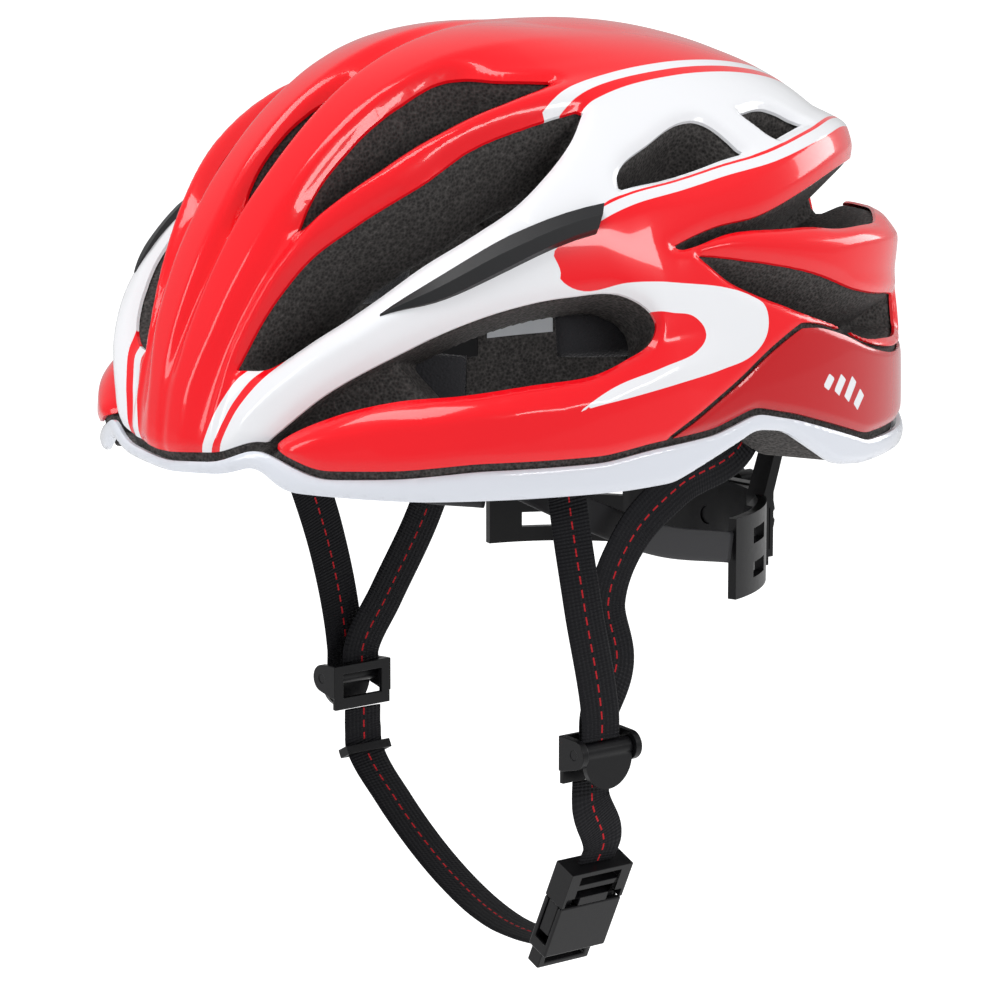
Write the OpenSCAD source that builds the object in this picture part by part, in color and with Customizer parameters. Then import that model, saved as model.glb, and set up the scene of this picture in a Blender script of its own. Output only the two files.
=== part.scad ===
// Road cycling helmet: an in-moulded foam liner under thin shells, a rear fit cradle
// worked by a dial, and a chin strap with two cam dividers and a side release buckle.
// Front is -Y, the rider's left is +X, and the origin is the centre of the head opening.

/* [Shell] */
// Half width of the outer shell at the rim
shell_half_width = 102.5; // [95:0.5:124]
// Reach of the shell ahead of the origin
shell_front = 134; // [124:1:162]
// Reach of the shell behind the origin
shell_rear = 138; // [128:1:166]
// Height of the crown above the rim
shell_height = 131; // [122:1:158]
// Thickness of the moulded outer shells
shell_skin = 1.2; // [0.8:0.1:2]
// Height of the foam line left bare between the upper and the lower shell
foam_line = 3; // [2:0.5:6]

/* [Head space] */
// Half width of the head space inside the liner
head_half_width = 78; // [66:0.5:84]
// Reach of the head space ahead of the origin
head_front = 101; // [86:1:112]
// Reach of the head space behind the origin
head_rear = 104; // [90:1:114]
// Height of the head space above the rim
head_height = 101; // [84:1:108]
// Thickness of the comfort pads
pad_thick = 6; // [3:0.5:9]

/* [Webbing] */
// Width of the webbing
web_width = 15; // [12:0.5:20]
// Thickness of the webbing
web_thick = 1.6; // [1.2:0.1:2.2]
// How far the straps hang inside the liner's wall
strap_inset = 8; // [6:0.5:12]
// Height of the dividers below the rim
divider_drop = 85; // [72:1:102]
// Depth of the chin strap below the rim
chin_drop = 157; // [140:1:188]

/* [Fit cradle] */
// Inner radius of the cradle band around the nape
cradle_radius = 61; // [52:0.5:66]
// Height of the cradle band
cradle_height = 26; // [22:0.5:32]
// Wall of the cradle band
cradle_wall = 3; // [2:0.2:4]
// Depth of the band's middle below the rim
cradle_drop = 38; // [32:1:46]
// Radius of the fit dial
dial_radius = 14; // [11:0.5:18]
// Radius of the dial's spindle
spindle_radius = 3; // [2:0.1:4]
// Radial running clearance of the spindle and the pins
running_clear = 0.05; // [0.02:0.01:0.09]
// Radius of the cradle's pivot pins
pivot_radius = 2; // [1.5:0.1:3]

/* [Buckle] */
// Width of the buckle's socket half
buckle_width = 25; // [22:0.5:32]
// Length of the buckle's socket half
socket_length = 19; // [16:0.5:24]
// Thickness of the buckle's socket half
buckle_thick = 8.4; // [7.5:0.1:11]
// Wall of the socket
socket_wall = 1.6; // [1.2:0.1:2.2]

/* [Hidden] */
$fn = 48;
// Gap between solids that are glued or clipped together
seat = 0.3;
// How square the plan of the head shape is
plan_power = 2.3;
// Depth scale of the curve below the rim
under_curve = 60;
// Gap between the pads and the liner, which their fastening fills
pad_seat = 0.6;
// Segments round a full dome and down its side
dome_steps = 60;
dome_rings = 11;
SHELL = [shell_half_width, shell_front, shell_rear, shell_height];
HEAD = [head_half_width, head_front, head_rear, head_height];

// Colatitude of the rim and of the lower edge of the upper shell, by heading from the front
RIM = [[0, 88], [11, 87], [16, 85], [20, 89.5], [38, 90.4], [70, 90.8], [80, 90.4], [92, 86],
       [99, 83.4], [106, 84.5], [112, 88], [119, 92], [127, 93], [150, 93], [166, 91], [180, 90]];
BELT = [[0, 86.4], [10, 85.4], [16, 83], [25, 86.4], [36, 86], [46, 85], [66, 84.6], [75, 83.2],
        [89, 82], [93, 81], [99, 79.5], [109, 82], [117, 84.6], [129, 88.5], [150, 89], [166, 87], [180, 86]];
// Upper edge of the rear panels, from the point where the side groove leaves the foam line
PANEL_TOP = [[80, 81.4], [87, 78.7], [95, 74.4], [104, 70], [112, 68], [122, 71.5], [131, 76], [146, 79], [158, 80]];

// Inner and outer edge of the matt insert beside the side vent: [fore-aft degree, sideways degree]
INSERT_INNER = [[-55, 34.6], [-40, 39.4], [-20, 43]];
INSERT_OUTER = [[-55, 35.6], [-40, 43.4], [-20, 47]];

// Vents by station: [fore-aft degree, inner degree, outer degree] in the dome's flat chart
VENT_SLIT = [[-56, -0.3, 0.3], [-50, -1.5, 1.5], [-40, -1.8, 1.8], [-28, -0.3, 0.3]];
VENT_UPPER = [[-53, 12.5, 13], [-48, 11.5, 15.5], [-38, 11.4, 19], [-28, 12.2, 21.2], [-19, 14, 22], [-9.5, 21.6, 22.2]];
VENT_FRONT = [[-73, 13.4, 14.5], [-66, 14.8, 24.6], [-55, 18, 31.2], [-46, 21.8, 34.2], [-37, 25, 36.4],
              [-28, 26, 36.8], [-18, 27.4, 34], [-9, 28.4, 29.2]];
VENT_SIDE = [[-59, 43, 46.5], [-50, 44.2, 54], [-40, 48, 61.2], [-30, 52, 65], [-20, 56.2, 65.4], [-13.5, 61.5, 63.5]];
VENT_QUARTER = [[-12, 41, 42], [-2, 36.5, 42], [6, 34, 41], [14, 36.8, 38.8]];
VENT_REAR_TOP = [[19, 31, 32], [25, 29.4, 34], [31, 29.4, 30.6]];
VENT_REAR_MID = [[-4, 52.4, 53], [8, 48.6, 51], [20, 44.4, 49], [30, 38, 45.2], [38, 33, 41]];
VENT_REAR_LOW = [[6, 56.6, 57.8], [16, 56, 60.6], [28, 55, 61.6], [40, 53.4, 59.6], [50, 48.6, 55.6], [58, 42, 48]];
VENT_TAIL = [[46, 3, 8], [56, 3, 12], [66, 3, 13], [75, 3, 13], [78, 4, 11]];

// Fit cradle
cradle_y = shell_rear - 111;
band_outer = cradle_radius + cradle_wall;
cradle_sweep = 150;
arm_x = 34;
pivot_half = 6;
// Rearward reach of the head space at a sideways place near the rim
function head_wall(x) = head_rear * pow(1 - pow(x / head_half_width, plan_power), 1 / plan_power);
pivot = [arm_x, head_wall(arm_x + pivot_half) - 5.4, 2];
plate_y = cradle_y + band_outer + 0.6;
plate_half = 26;
rack_thick = 1.6;
rack_tall = 4.5;
pinion_radius = 4;
cover_deep = 6;
cover_wall = 1.8;

// Webbing routes
strap_x = head_half_width - strap_inset;
front_root = [strap_x + 1.2, -36, 10];
rear_root = [strap_x + 2.1, 36, 10];
divider_left_at = [strap_x + 10, -28, -divider_drop];
divider_right_at = [-strap_x - 6, -4, -divider_drop - 7];
divider_half = 12;
roller_radius = 3;
cheek_radius = 4.6;
cheek_thick = 2.4;
pin_radius = 1.5;
buckle_at = [62, -19, -chin_drop + 23];
buckle_lean = 25;
prong_thick = 4.4;

// ---- the head shape ----

// Unit vector at a heading from the front and an angle from straight up
function aim(heading, tilt) = [sin(tilt) * sin(heading), -sin(tilt) * cos(heading), cos(tilt)];
// Unit vector at a place in the flat chart: sideways and rearward angle from the crown
function chart(side, back) = aim(atan2(side, -back), norm([side, back]));
// Distance from the origin to the head shape with half sizes s along a unit vector
function reach(d, s) =
    let (power = plan_power + 0.55 * d.y + 0.1 * d.y * d.y,
         length = d.y < 0 ? s[1] : s[2],
         plan = pow(pow(abs(d.x) / s[0], plan_power) + pow(abs(d.y) / length, plan_power), 1 / plan_power),
         height = d.z > 0 ? s[3] : under_curve)
    pow(pow(plan, power) + pow(abs(d.z) / height, power), -1 / power);
function on_shape(d, s, inward) = d * (reach(d, s) - inward);
function mirror_x(p) = [-p.x, p.y, p.z];
// Value of an edge table at any heading, the same on both sides
function edge(h, table) = lookup(min(h, 360 - h), table);

// Closed dome between two layers of the head shape, with rings down to the shell's lower
// edge and, with a skirt, one more ring down to the rim
module dome(outer, outer_in, inner, inner_in, skirt = 0) {
    headings = [for (i = [0 : dome_steps - 1]) i * 360 / dome_steps];
    rings = dome_rings + skirt;
    function tilt(h, j) = j > dome_rings ? edge(h, RIM) : edge(h, BELT) * j / dome_rings;
    function ring(s, inward) = [for (j = [1 : rings]) for (h = headings)
        on_shape(aim(h, tilt(h, j)), s, inward)];
    points = concat([on_shape([0, 0, 1], outer, outer_in)], ring(outer, outer_in),
                    [on_shape([0, 0, 1], inner, inner_in)], ring(inner, inner_in));
    layer = 1 + dome_steps * rings;
    function at(l, j, i) = l * layer + 1 + (j - 1) * dome_steps + i % dome_steps;
    faces = [for (i = [0 : dome_steps - 1]) each concat(
        [[0, at(0, 1, i + 1), at(0, 1, i)], [layer, at(1, 1, i), at(1, 1, i + 1)]],
        [for (j = [1 : rings - 1]) each [
            [at(0, j, i), at(0, j, i + 1), at(0, j + 1, i)],
            [at(0, j, i + 1), at(0, j + 1, i + 1), at(0, j + 1, i)],
            [at(1, j, i), at(1, j + 1, i), at(1, j, i + 1)],
            [at(1, j, i + 1), at(1, j + 1, i), at(1, j + 1, i + 1)]]],
        [[at(0, rings, i), at(0, rings, i + 1), at(1, rings, i)],
         [at(0, rings, i + 1), at(1, rings, i + 1), at(1, rings, i)]])];
    polyhedron(points, faces);
}

// Closed solid from a list of rings of equal length, with fans over the first and last ring
module skin_rings(rings) {
    n = len(rings[0]);
    last = len(rings) - 1;
    walls = [for (k = [0 : last - 1]) for (i = [0 : n - 1]) each [
        [k * n + i, (k + 1) * n + i, k * n + (i + 1) % n],
        [k * n + (i + 1) % n, (k + 1) * n + i, (k + 1) * n + (i + 1) % n]]];
    caps = [for (i = [1 : n - 2]) each [[0, i, i + 1], [last * n, last * n + i + 1, last * n + i]]];
    polyhedron([for (r = rings) each r], concat(walls, caps));
}

// Plate that follows the head shape from heading h0 to h1, between two edges given by heading
module plate(shape, out, thick, h0, h1, top, bottom, steps, rows = 2) {
    rings = [for (k = [0 : steps])
        let (h = h0 + (h1 - h0) * k / steps, a = lookup(h, top), b = lookup(h, bottom))
        concat([for (j = [0 : rows]) on_shape(aim(h, a + (b - a) * j / rows), shape, out)],
               [for (j = [rows : -1 : 0]) on_shape(aim(h, a + (b - a) * j / rows), shape, out + thick)])];
    skin_rings(rings);
}

// Small plate round one place of the head shape, with its size in millimetres
module pad_at(shape, out, thick, heading, tilt, wide, tall, steps = 6) {
    r = reach(aim(heading, tilt), shape);
    dh = wide / 2 / r / max(sin(tilt), 0.2) * 180 / PI;
    dt = tall / 2 / r * 180 / PI;
    plate(shape, out, thick, heading - dh, heading + dh, [[0, tilt - dt]], [[0, tilt + dt]], steps);
}

// Cutter for one vent: wedges that widen outwards from inside the head space
module vent(stations, side) {
    near = 0.55;
    far = 1.25;
    for (k = [0 : len(stations) - 2])
        hull()
            polyhedron([for (s = [stations[k], stations[k + 1]]) for (u = [s[1], s[2]]) for (f = [near, far])
                chart(side * u, s[0]) * reach(chart(side * u, s[0]), SHELL) * f],
                [[0, 1, 3], [0, 3, 2], [4, 7, 5], [4, 6, 7], [0, 5, 1], [0, 4, 5], [2, 3, 7], [2, 7, 6],
                 [0, 2, 6], [0, 6, 4], [1, 5, 7], [1, 7, 3]]);
}

module vents() {
    vent(VENT_SLIT, 1);
    for (side = [-1, 1]) {
        for (v = [VENT_UPPER, VENT_FRONT, VENT_SIDE, VENT_QUARTER, VENT_REAR_TOP, VENT_REAR_MID,
                  VENT_REAR_LOW, VENT_TAIL])
            vent(v, side);
    }
}

// ---- liner and shells ----

module eps_liner() color([0.08, 0.08, 0.085]) difference() {
    dome(SHELL, shell_skin + seat, HEAD, 0, skirt = 1);
    vents();
}

module upper_shell() color([0.85, 0.05, 0.08]) difference() {
    dome(SHELL, 0, SHELL, shell_skin);
    vents();
    for (side = [-1, 1])
        panel_space(side);
}

// Room that the rear panel takes out of the upper shell, with a groove round it
module panel_space(side) {
    steps = 8;
    h0 = PANEL_TOP[0][0];
    h1 = PANEL_TOP[len(PANEL_TOP) - 1][0] + 1;
    for (k = [0 : steps - 1])
        hull()
            for (h = [h0 + (h1 - h0) * k / steps, h0 + (h1 - h0) * (k + 1) / steps])
                for (t = [lookup(h, PANEL_TOP) - 1, 96])
                    for (f = [0.9, 1.1])
                        translate(aim(side * h, t) * reach(aim(side * h, t), SHELL) * f)
                            cube(0.01);
}

module lower_shell() {
    line = foam_line / shell_half_width * 180 / PI;
    rows = 2;
    n = 2 * rows + 2;
    function belt(h) = min(edge(h, BELT) + line, edge(h, RIM) - 1);
    function row_tilt(h, j) = belt(h) + (edge(h, RIM) - belt(h)) * j / rows;
    headings = [for (i = [0 : dome_steps - 1]) i * 360 / dome_steps];
    points = [for (h = headings) each concat(
        [for (j = [0 : rows]) on_shape(aim(h, row_tilt(h, j)), SHELL, 0)],
        [for (j = [rows : -1 : 0]) on_shape(aim(h, row_tilt(h, j)), SHELL, shell_skin)])];
    faces = [for (k = [0 : dome_steps - 1]) for (i = [0 : n - 1])
        let (here = k * n, next = (k + 1) % dome_steps * n, j = (i + 1) % n) each
        [[here + i, next + i, here + j], [here + j, next + i, next + j]]];
    color([0.93, 0.93, 0.95])
        polyhedron(points, faces);
}

module rear_panel() color([0.72, 0.04, 0.07])
    plate(SHELL, 0, shell_skin, PANEL_TOP[0][0] + 4, PANEL_TOP[len(PANEL_TOP) - 1][0],
          PANEL_TOP, BELT, 22, 3);
module rear_panel_left() rear_panel();
module rear_panel_right() mirror([1, 0, 0]) rear_panel();

// Matt wedge let into the rib above the side vent
module side_insert() color([0.1, 0.1, 0.11]) {
    proud = 1.4;
    skin_rings([for (back = [INSERT_INNER[0][0] : 5 : INSERT_INNER[2][0]])
        let (inner = lookup(back, INSERT_INNER), outer = lookup(back, INSERT_OUTER))
        [for (q = [[inner, -proud], [outer, -proud], [outer, -seat - 0.1], [inner, -seat - 0.1]])
            on_shape(chart(q[0], back), SHELL, q[1])]]);
}
module side_insert_left() side_insert();
module side_insert_right() mirror([1, 0, 0]) side_insert();

// ---- inside the liner ----

module brow_pad() color([0.13, 0.13, 0.14])
    plate(HEAD, pad_seat, pad_thick, -42, 42, [[0, 66]], [[0, 78]], 18);
module crown_pad() color([0.13, 0.13, 0.14])
    skin_rings([for (back = [-44 : 8 : 36]) [
        for (q = [[5.5, pad_seat], [10.5, pad_seat], [10.5, pad_seat + pad_thick], [5.5, pad_seat + pad_thick]])
            on_shape(chart(q[0], back), HEAD, q[1])]]);
module crown_pad_left() crown_pad();
module crown_pad_right() mirror([1, 0, 0]) crown_pad();
module side_pad() color([0.13, 0.13, 0.14])
    plate(HEAD, pad_seat, pad_thick, 62, 104, [[0, 56]], [[0, 65]], 10);
module side_pad_left() side_pad();
module side_pad_right() mirror([1, 0, 0]) side_pad();

function heading_of(p) = atan2(p.x, -p.y);
function tilt_of(p) = atan2(norm([p.x, p.y]), p.z);

// Anchor of one strap on the liner's inner wall, just over the strap's end
module strap_anchor(root) {
    tall = 8;
    raised = (tall / 2 + 2 * seat) / norm(root) * 180 / PI;
    pad_at(HEAD, pad_seat, 2.6, heading_of(root), tilt_of(root) - raised, web_width + 6, tall);
}
module strap_anchors() color([0.1, 0.1, 0.11])
    for (side = [0, 1])
        mirror([side, 0, 0]) {
            strap_anchor(front_root);
            strap_anchor(rear_root);
        }

belt_root = [head_half_width - 13, -62, 8];
module belt_anchors() color([0.1, 0.1, 0.11]) {
    pad_at(HEAD, pad_seat, 2.6, heading_of(belt_root), tilt_of(belt_root), 14, 10);
    mirror([1, 0, 0]) pad_at(HEAD, pad_seat, 2.6, heading_of(belt_root), tilt_of(belt_root), 14, 10);
}

module blank_label() color([0.8, 0.8, 0.82])
    pad_at(HEAD, pad_seat, 0.4, -133, 74, 22, 16);

// Pivot block on the liner with a pin for each arm of the cradle
module cradle_anchor() {
    block_half = pivot_half;
    ear = 2;
    for (x = [pivot.x - block_half, pivot.x + block_half - ear])
        hull() {
            translate([x, pivot.y, pivot.z])
                rotate([0, 90, 0])
                    cylinder(r = pivot_radius + 2, h = ear, $fn = 32);
            translate([x, pivot.y, pivot.z + 7])
                cube([ear, 4.5, 7]);
        }
    translate([pivot.x - block_half + ear - 0.5, pivot.y, pivot.z])
        rotate([0, 90, 0])
            cylinder(r = pivot_radius, h = 2 * (block_half - ear) + 1);
    translate([pivot.x - block_half, pivot.y + 1.5, pivot.z + 9])
        cube([2 * block_half, 3, 5]);
}
module cradle_anchors() color([0.1, 0.1, 0.11]) {
    cradle_anchor();
    mirror([1, 0, 0]) cradle_anchor();
}

// ---- fit cradle ----

module cradle_arm() {
    eye_half = 3.7;
    band_y = cradle_y + sqrt(pow(cradle_radius, 2) - pow(pivot.x, 2));
    difference() {
        union() {
            translate([pivot.x - eye_half, pivot.y, pivot.z])
                rotate([0, 90, 0])
                    cylinder(r = pivot_radius + 2, h = 2 * eye_half);
            hull() {
                translate([pivot.x - eye_half, pivot.y - 1.5, pivot.z - 4])
                    cube([2 * eye_half, 3, 2]);
                translate([pivot.x - 4, band_y, -cradle_drop + cradle_height / 2 - 4.2])
                    cube([8, cradle_wall, 3.6]);
            }
        }
        translate([pivot.x - eye_half - 1, pivot.y, pivot.z])
            rotate([0, 90, 0])
                cylinder(r = pivot_radius + running_clear, h = 2 * eye_half + 2);
    }
}

module cradle_window(angle, wide) {
    slot = 5;
    rotate([0, 0, angle])
        for (z = [-5.5, 5.5])
            translate([cradle_radius - 5, -wide / 2, z - slot / 2])
                cube([15, wide, slot]);
}

module cradle() color([0.09, 0.09, 0.1]) {
    difference() {
        union() {
            translate([0, cradle_y, -cradle_drop - cradle_height / 2])
                rotate([0, 0, 90 - cradle_sweep / 2])
                    rotate_extrude(angle = cradle_sweep, $fn = 96)
                        translate([cradle_radius, 0])
                            square([cradle_wall, cradle_height]);
            translate([-plate_half, plate_y - 4, -cradle_drop - cradle_height / 2 - 0.5])
                cube([2 * plate_half, 4, cradle_height + 1]);
        }
        translate([0, cradle_y, -cradle_drop])
            for (angle = [32, 52, 128, 148])
                cradle_window(angle, 13);
        translate([0, plate_y - 10, -cradle_drop])
            rotate([-90, 0, 0])
                cylinder(r = spindle_radius + running_clear, h = 20);
    }
    cradle_arm();
    mirror([1, 0, 0]) cradle_arm();
}

// Cover that closes the racks in and carries the dial
module cradle_cover() color([0.09, 0.09, 0.1]) {
    cover_half = plate_half - 4;
    inner_tall = 2 * (pinion_radius + rack_tall) + 1.4;
    difference() {
        translate([-cover_half, plate_y, -cradle_drop - cradle_height / 2 + 1])
            cube([2 * cover_half, cover_deep, cradle_height - 2]);
        translate([-cover_half - 1, plate_y - 1, -cradle_drop - inner_tall / 2])
            cube([2 * cover_half + 2, cover_deep - cover_wall + 1, inner_tall]);
        translate([0, plate_y - 1, -cradle_drop])
            rotate([-90, 0, 0])
                cylinder(r = spindle_radius + running_clear, h = cover_deep + 2);
    }
}

module cover_screws() color([0.6, 0.6, 0.62])
    for (x = [-plate_half + 7.5, plate_half - 7.5])
        translate([x, plate_y + cover_deep, -cradle_drop + cradle_height / 2 - 3.3])
            rotate([-90, 0, 0])
                cylinder(r = 1.6, h = 1);

module fit_dial() color([0.12, 0.12, 0.13])
    translate([0, 0, -cradle_drop])
        rotate([-90, 0, 0]) {
            translate([0, 0, plate_y - 3.4])
                cylinder(r = spindle_radius, h = cover_deep + 4.4);
            translate([0, 0, plate_y + seat])
                cylinder(r = pinion_radius - 0.5, h = cover_deep - cover_wall - 2 * seat);
            translate([0, 0, plate_y + cover_deep + seat])
                difference() {
                    cylinder(r = dial_radius, h = 8);
                    for (a = [0 : 30 : 330])
                        rotate([0, 0, a])
                            translate([dial_radius + 1, 0, -1])
                                cylinder(r = 2, h = 10, $fn = 24);
                }
        }

// Toothed end of a side belt, beside the pinion
module belt_rack(level) {
    length = 40;
    tooth = 1.6;
    translate([-length / 2, plate_y + 1, -cradle_drop + level * (pinion_radius + rack_tall / 2 + 0.2) - rack_tall / 2])
        difference() {
            cube([length, rack_thick, rack_tall]);
            for (x = [tooth : 2 * tooth : length - tooth])
                translate([x, -1, level > 0 ? -1 : rack_tall - 1])
                    cube([tooth, rack_thick + 2, 2]);
        }
}
module belt_rack_left() color([0.2, 0.2, 0.21]) belt_rack(1);
module belt_rack_right() color([0.2, 0.2, 0.21]) belt_rack(-1);

// ---- webbing and belts ----

// Smooth point between route[i] and route[i + 1], which heads from each point's one
// neighbour to the other, as far as the two points are apart
function soft(route, i, t) =
    let (b = route[i], c = route[i + 1], span = norm(c - b),
         out = unit(c - route[max(i - 1, 0)]) * span,
         in = unit(route[min(i + 2, len(route) - 1)] - b) * span,
         u = 1 - t)
    b * u * u * (1 + 2 * t) + out * t * u * u + c * t * t * (3 - 2 * t) - in * t * t * u;
function smooth(route, fine) = concat(
    [for (i = [0 : len(route) - 2]) for (k = [0 : fine - 1]) soft(route, i, k / fine)],
    [route[len(route) - 1]]);
function unit(v) = v / norm(v);

// Flat strip along a route, with its width turned towards the across vector
module strip(route, wide, thick, across, fine = 4) {
    path = smooth(route, fine);
    last = len(path) - 1;
    skin_rings([for (i = [0 : last])
        let (along = unit(path[min(i + 1, last)] - path[max(i - 1, 0)]),
             face = unit(cross(along, across)),
             side = cross(face, along))
        [for (q = [[-1, -1], [1, -1], [1, 1], [-1, 1]])
            path[i] + side * wide / 2 * q[0] + face * thick / 2 * q[1]]]);
}

// Clear height of the divider's frame over and under its roller
frame_top = 5;
frame_bottom = 10;
// Where the webbing meets a divider: over the roller, in the channel behind it, and below
over_roller = [0.5, -1.6, roller_radius + 0.4];
in_channel = [-roller_radius - 1.2, 1.6, 2];
under_frame = [-roller_radius - web_thick - 1.6, 0.5, -frame_bottom - 0.5];
// Straight length at each end of a strap, so that it meets its fitting squarely
lead = [0, 0, 7];
function in_socket(p) = buckle_at
    + [p.x * cos(buckle_lean) + p.z * sin(buckle_lean), p.y, p.z * cos(buckle_lean) - p.x * sin(buckle_lean)];
FRONT_LEFT = [front_root, front_root - lead, [strap_x, -34, -8], [strap_x + 6, -33, -40],
              divider_left_at + over_roller + lead, divider_left_at + over_roller];
REAR_LEFT = [rear_root, rear_root - lead, [strap_x + 1, 10, -9], [strap_x + 0.5, -8, -22], [strap_x, -18, -42],
             [strap_x + 3, -17, -60], divider_left_at + in_channel + lead, divider_left_at + in_channel];
FRONT_RIGHT = [mirror_x(front_root), mirror_x(front_root) - lead, [-strap_x, -30, -12], [-strap_x - 3.5, -15, -46],
               divider_right_at + mirror_x(over_roller) + lead, divider_right_at + mirror_x(over_roller)];
REAR_RIGHT = [mirror_x(rear_root), mirror_x(rear_root) - lead, [-strap_x - 0.5, 33, -18], [-strap_x - 1, 24, -40],
              [-strap_x - 1.6, 8, -66], divider_right_at + mirror_x(in_channel) + lead,
              divider_right_at + mirror_x(in_channel)];
CHIN_LEFT = [divider_left_at + under_frame, divider_left_at + under_frame - lead, in_socket([0, 0, 18]),
             in_socket([0, 0, 10.8])];
CHIN_RIGHT = [divider_right_at + mirror_x(under_frame), divider_right_at + mirror_x(under_frame) - lead,
              [-strap_x - 0.5, -2, -117],
              [-58, 0, -chin_drop + 25], [-40, 0, -chin_drop + 12], [-15, -4, -chin_drop + 3],
              [12, -11, -chin_drop], [32, -16, -chin_drop + 1],
              in_socket([-buckle_thick / 2 - 1.5, 0, -socket_length - 6])];
keeper_at = CHIN_RIGHT[2];
keeper_along = unit(CHIN_RIGHT[3] - CHIN_RIGHT[1]);

module front_strap_left() color([0.05, 0.05, 0.06]) strip(FRONT_LEFT, web_width, web_thick, [0, 1, 0]);
module front_strap_right() color([0.05, 0.05, 0.06]) strip(FRONT_RIGHT, web_width, web_thick, [0, 1, 0]);
module rear_strap_left() color([0.05, 0.05, 0.06]) strip(REAR_LEFT, web_width, web_thick, [0, 1, 0]);
module rear_strap_right() color([0.05, 0.05, 0.06]) strip(REAR_RIGHT, web_width, web_thick, [0, 1, 0]);
module chin_strap_left() color([0.05, 0.05, 0.06]) strip(CHIN_LEFT, web_width, web_thick, [0, 1, 0]);
module chin_strap_right() color([0.05, 0.05, 0.06]) strip(CHIN_RIGHT, web_width, web_thick, [0, 1, 0], 3);

module side_belt(side) {
    wing = 90 - cradle_sweep / 2;
    middle = cradle_radius + cradle_wall / 2;
    start = [middle * cos(wing) + 0.2, cradle_y + middle * sin(wing) - 0.9, -cradle_drop + 4];
    route = [start, [head_half_width - 17, 12, -28], [head_half_width - 17, -18, -16], belt_root - [3.6, -6, 6]];
    strip([for (p = route) [side * p.x, p.y, p.z]], 10, 1.4, [0, 0, 1], 3);
}
module side_belt_left() color([0.09, 0.09, 0.1]) side_belt(1);
module side_belt_right() color([0.09, 0.09, 0.1]) side_belt(-1);

// ---- dividers ----

module divider(at) color([0.1, 0.1, 0.11])
    translate(at) {
        back_x = -roller_radius - web_thick - 2.4;
        difference() {
            for (y = [-divider_half, divider_half - cheek_thick])
                translate([0, y, 0])
                    hull() {
                        rotate([-90, 0, 0])
                            cylinder(r = cheek_radius, h = cheek_thick, $fn = 32);
                        translate([back_x, 0, -6])
                            cube([1.6, cheek_thick, 6 + frame_top]);
                    }
            translate([0, -divider_half - 1, 0])
                rotate([-90, 0, 0])
                    cylinder(r = pin_radius + running_clear, h = 2 * divider_half + 2);
        }
        difference() {
            translate([back_x, -divider_half + 0.5, -frame_bottom])
                cube([1.6, 2 * divider_half - 1, frame_bottom + frame_top]);
            translate([back_x - 1, -web_width / 2 - 0.6, -6])
                cube([4, web_width + 1.2, 8]);
        }
    }
module divider_left() divider(divider_left_at);
module divider_right() translate(divider_right_at) mirror([1, 0, 0]) divider([0, 0, 0]);

// Cam roller with the flap that locks the webbing
module divider_lever(at, side) color([0.1, 0.1, 0.11])
    translate(at) {
        flap_thick = 1.8;
        half = divider_half - cheek_thick - seat;
        rotate([-90, 0, 0]) {
            translate([0, 0, -half])
                cylinder(r = roller_radius, h = 2 * half);
            translate([0, 0, -divider_half + 0.2])
                cylinder(r = pin_radius, h = 2 * divider_half - 0.4);
        }
        translate([side > 0 ? 1 : -1 - flap_thick, 0, 0])
            rotate([0, 90, 0])
                linear_extrude(flap_thick)
                    intersection() {
                        translate([2.5, 0])
                            circle(r = half);
                        translate([0, -half])
                            square([13, 2 * half]);
                    }
    }
module divider_lever_left() divider_lever(divider_left_at, 1);
module divider_lever_right() divider_lever(divider_right_at, -1);

module strap_keeper() color([0.05, 0.05, 0.06])
    translate(keeper_at)
        rotate([0, atan2(keeper_along.x, keeper_along.z), 0])
            difference() {
                cube([web_thick + 3.6, web_width + 3.4, 3], center = true);
                cube([web_thick + 1.4, web_width + 1, 5], center = true);
            }

// ---- buckle: local Z runs from the socket up to the webbing bar ----

module in_buckle()
    translate(buckle_at)
        rotate([0, buckle_lean, 0])
            children();

socket_inner = buckle_width - 2 * socket_wall;
socket_gap = buckle_thick - 2 * socket_wall;
// Room beside a prong's root, in which it swings
prong_play = 0.5;
// Distance of each prong's hinge from the buckle's middle
prong_root = socket_inner / 2 - prong_thick / 2 - 0.2;

module buckle_female() color([0.08, 0.08, 0.09]) in_buckle()
    difference() {
        union() {
            translate([-buckle_thick / 2, -buckle_width / 2, -socket_length - 3])
                cube([buckle_thick, buckle_width, socket_length]);
            translate([-buckle_thick / 2, -buckle_width / 2 + 2, -socket_length - 10])
                cube([buckle_thick - 3, buckle_width - 4, 7.2]);
        }
        translate([-socket_gap / 2, -socket_inner / 2, -socket_length - 3 + socket_wall])
            cube([socket_gap, socket_inner, socket_length]);
        for (side = [-1, 1])
            translate([-socket_gap / 2, side * buckle_width / 2 - 3, -socket_length + 1])
                cube([socket_gap, 6, socket_length]);
        translate([-buckle_thick, -web_width / 2 - 0.6, -socket_length - 8])
            cube([2 * buckle_thick, web_width + 1.2, 3.4]);
    }

module buckle_male() color([0.08, 0.08, 0.09]) in_buckle() {
    flat = socket_gap - 2 * seat;
    translate([-flat / 2, -2.6, -socket_length + 2])
        cube([flat, 5.2, socket_length - 2]);
    difference() {
        translate([-buckle_thick / 2, -buckle_width / 2, -3 + seat])
            cube([buckle_thick, buckle_width, 13]);
        for (z = [0.6, 5.6])
            translate([-buckle_thick, -web_width / 2 - 0.6, z])
                cube([2 * buckle_thick, web_width + 1.2, 3]);
        for (side = [-1, 1])
            translate([-buckle_thick, side * prong_root - prong_thick / 2 - prong_play, -4])
                cube([2 * buckle_thick, prong_thick + 2 * prong_play, 4.4]);
    }
}

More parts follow.
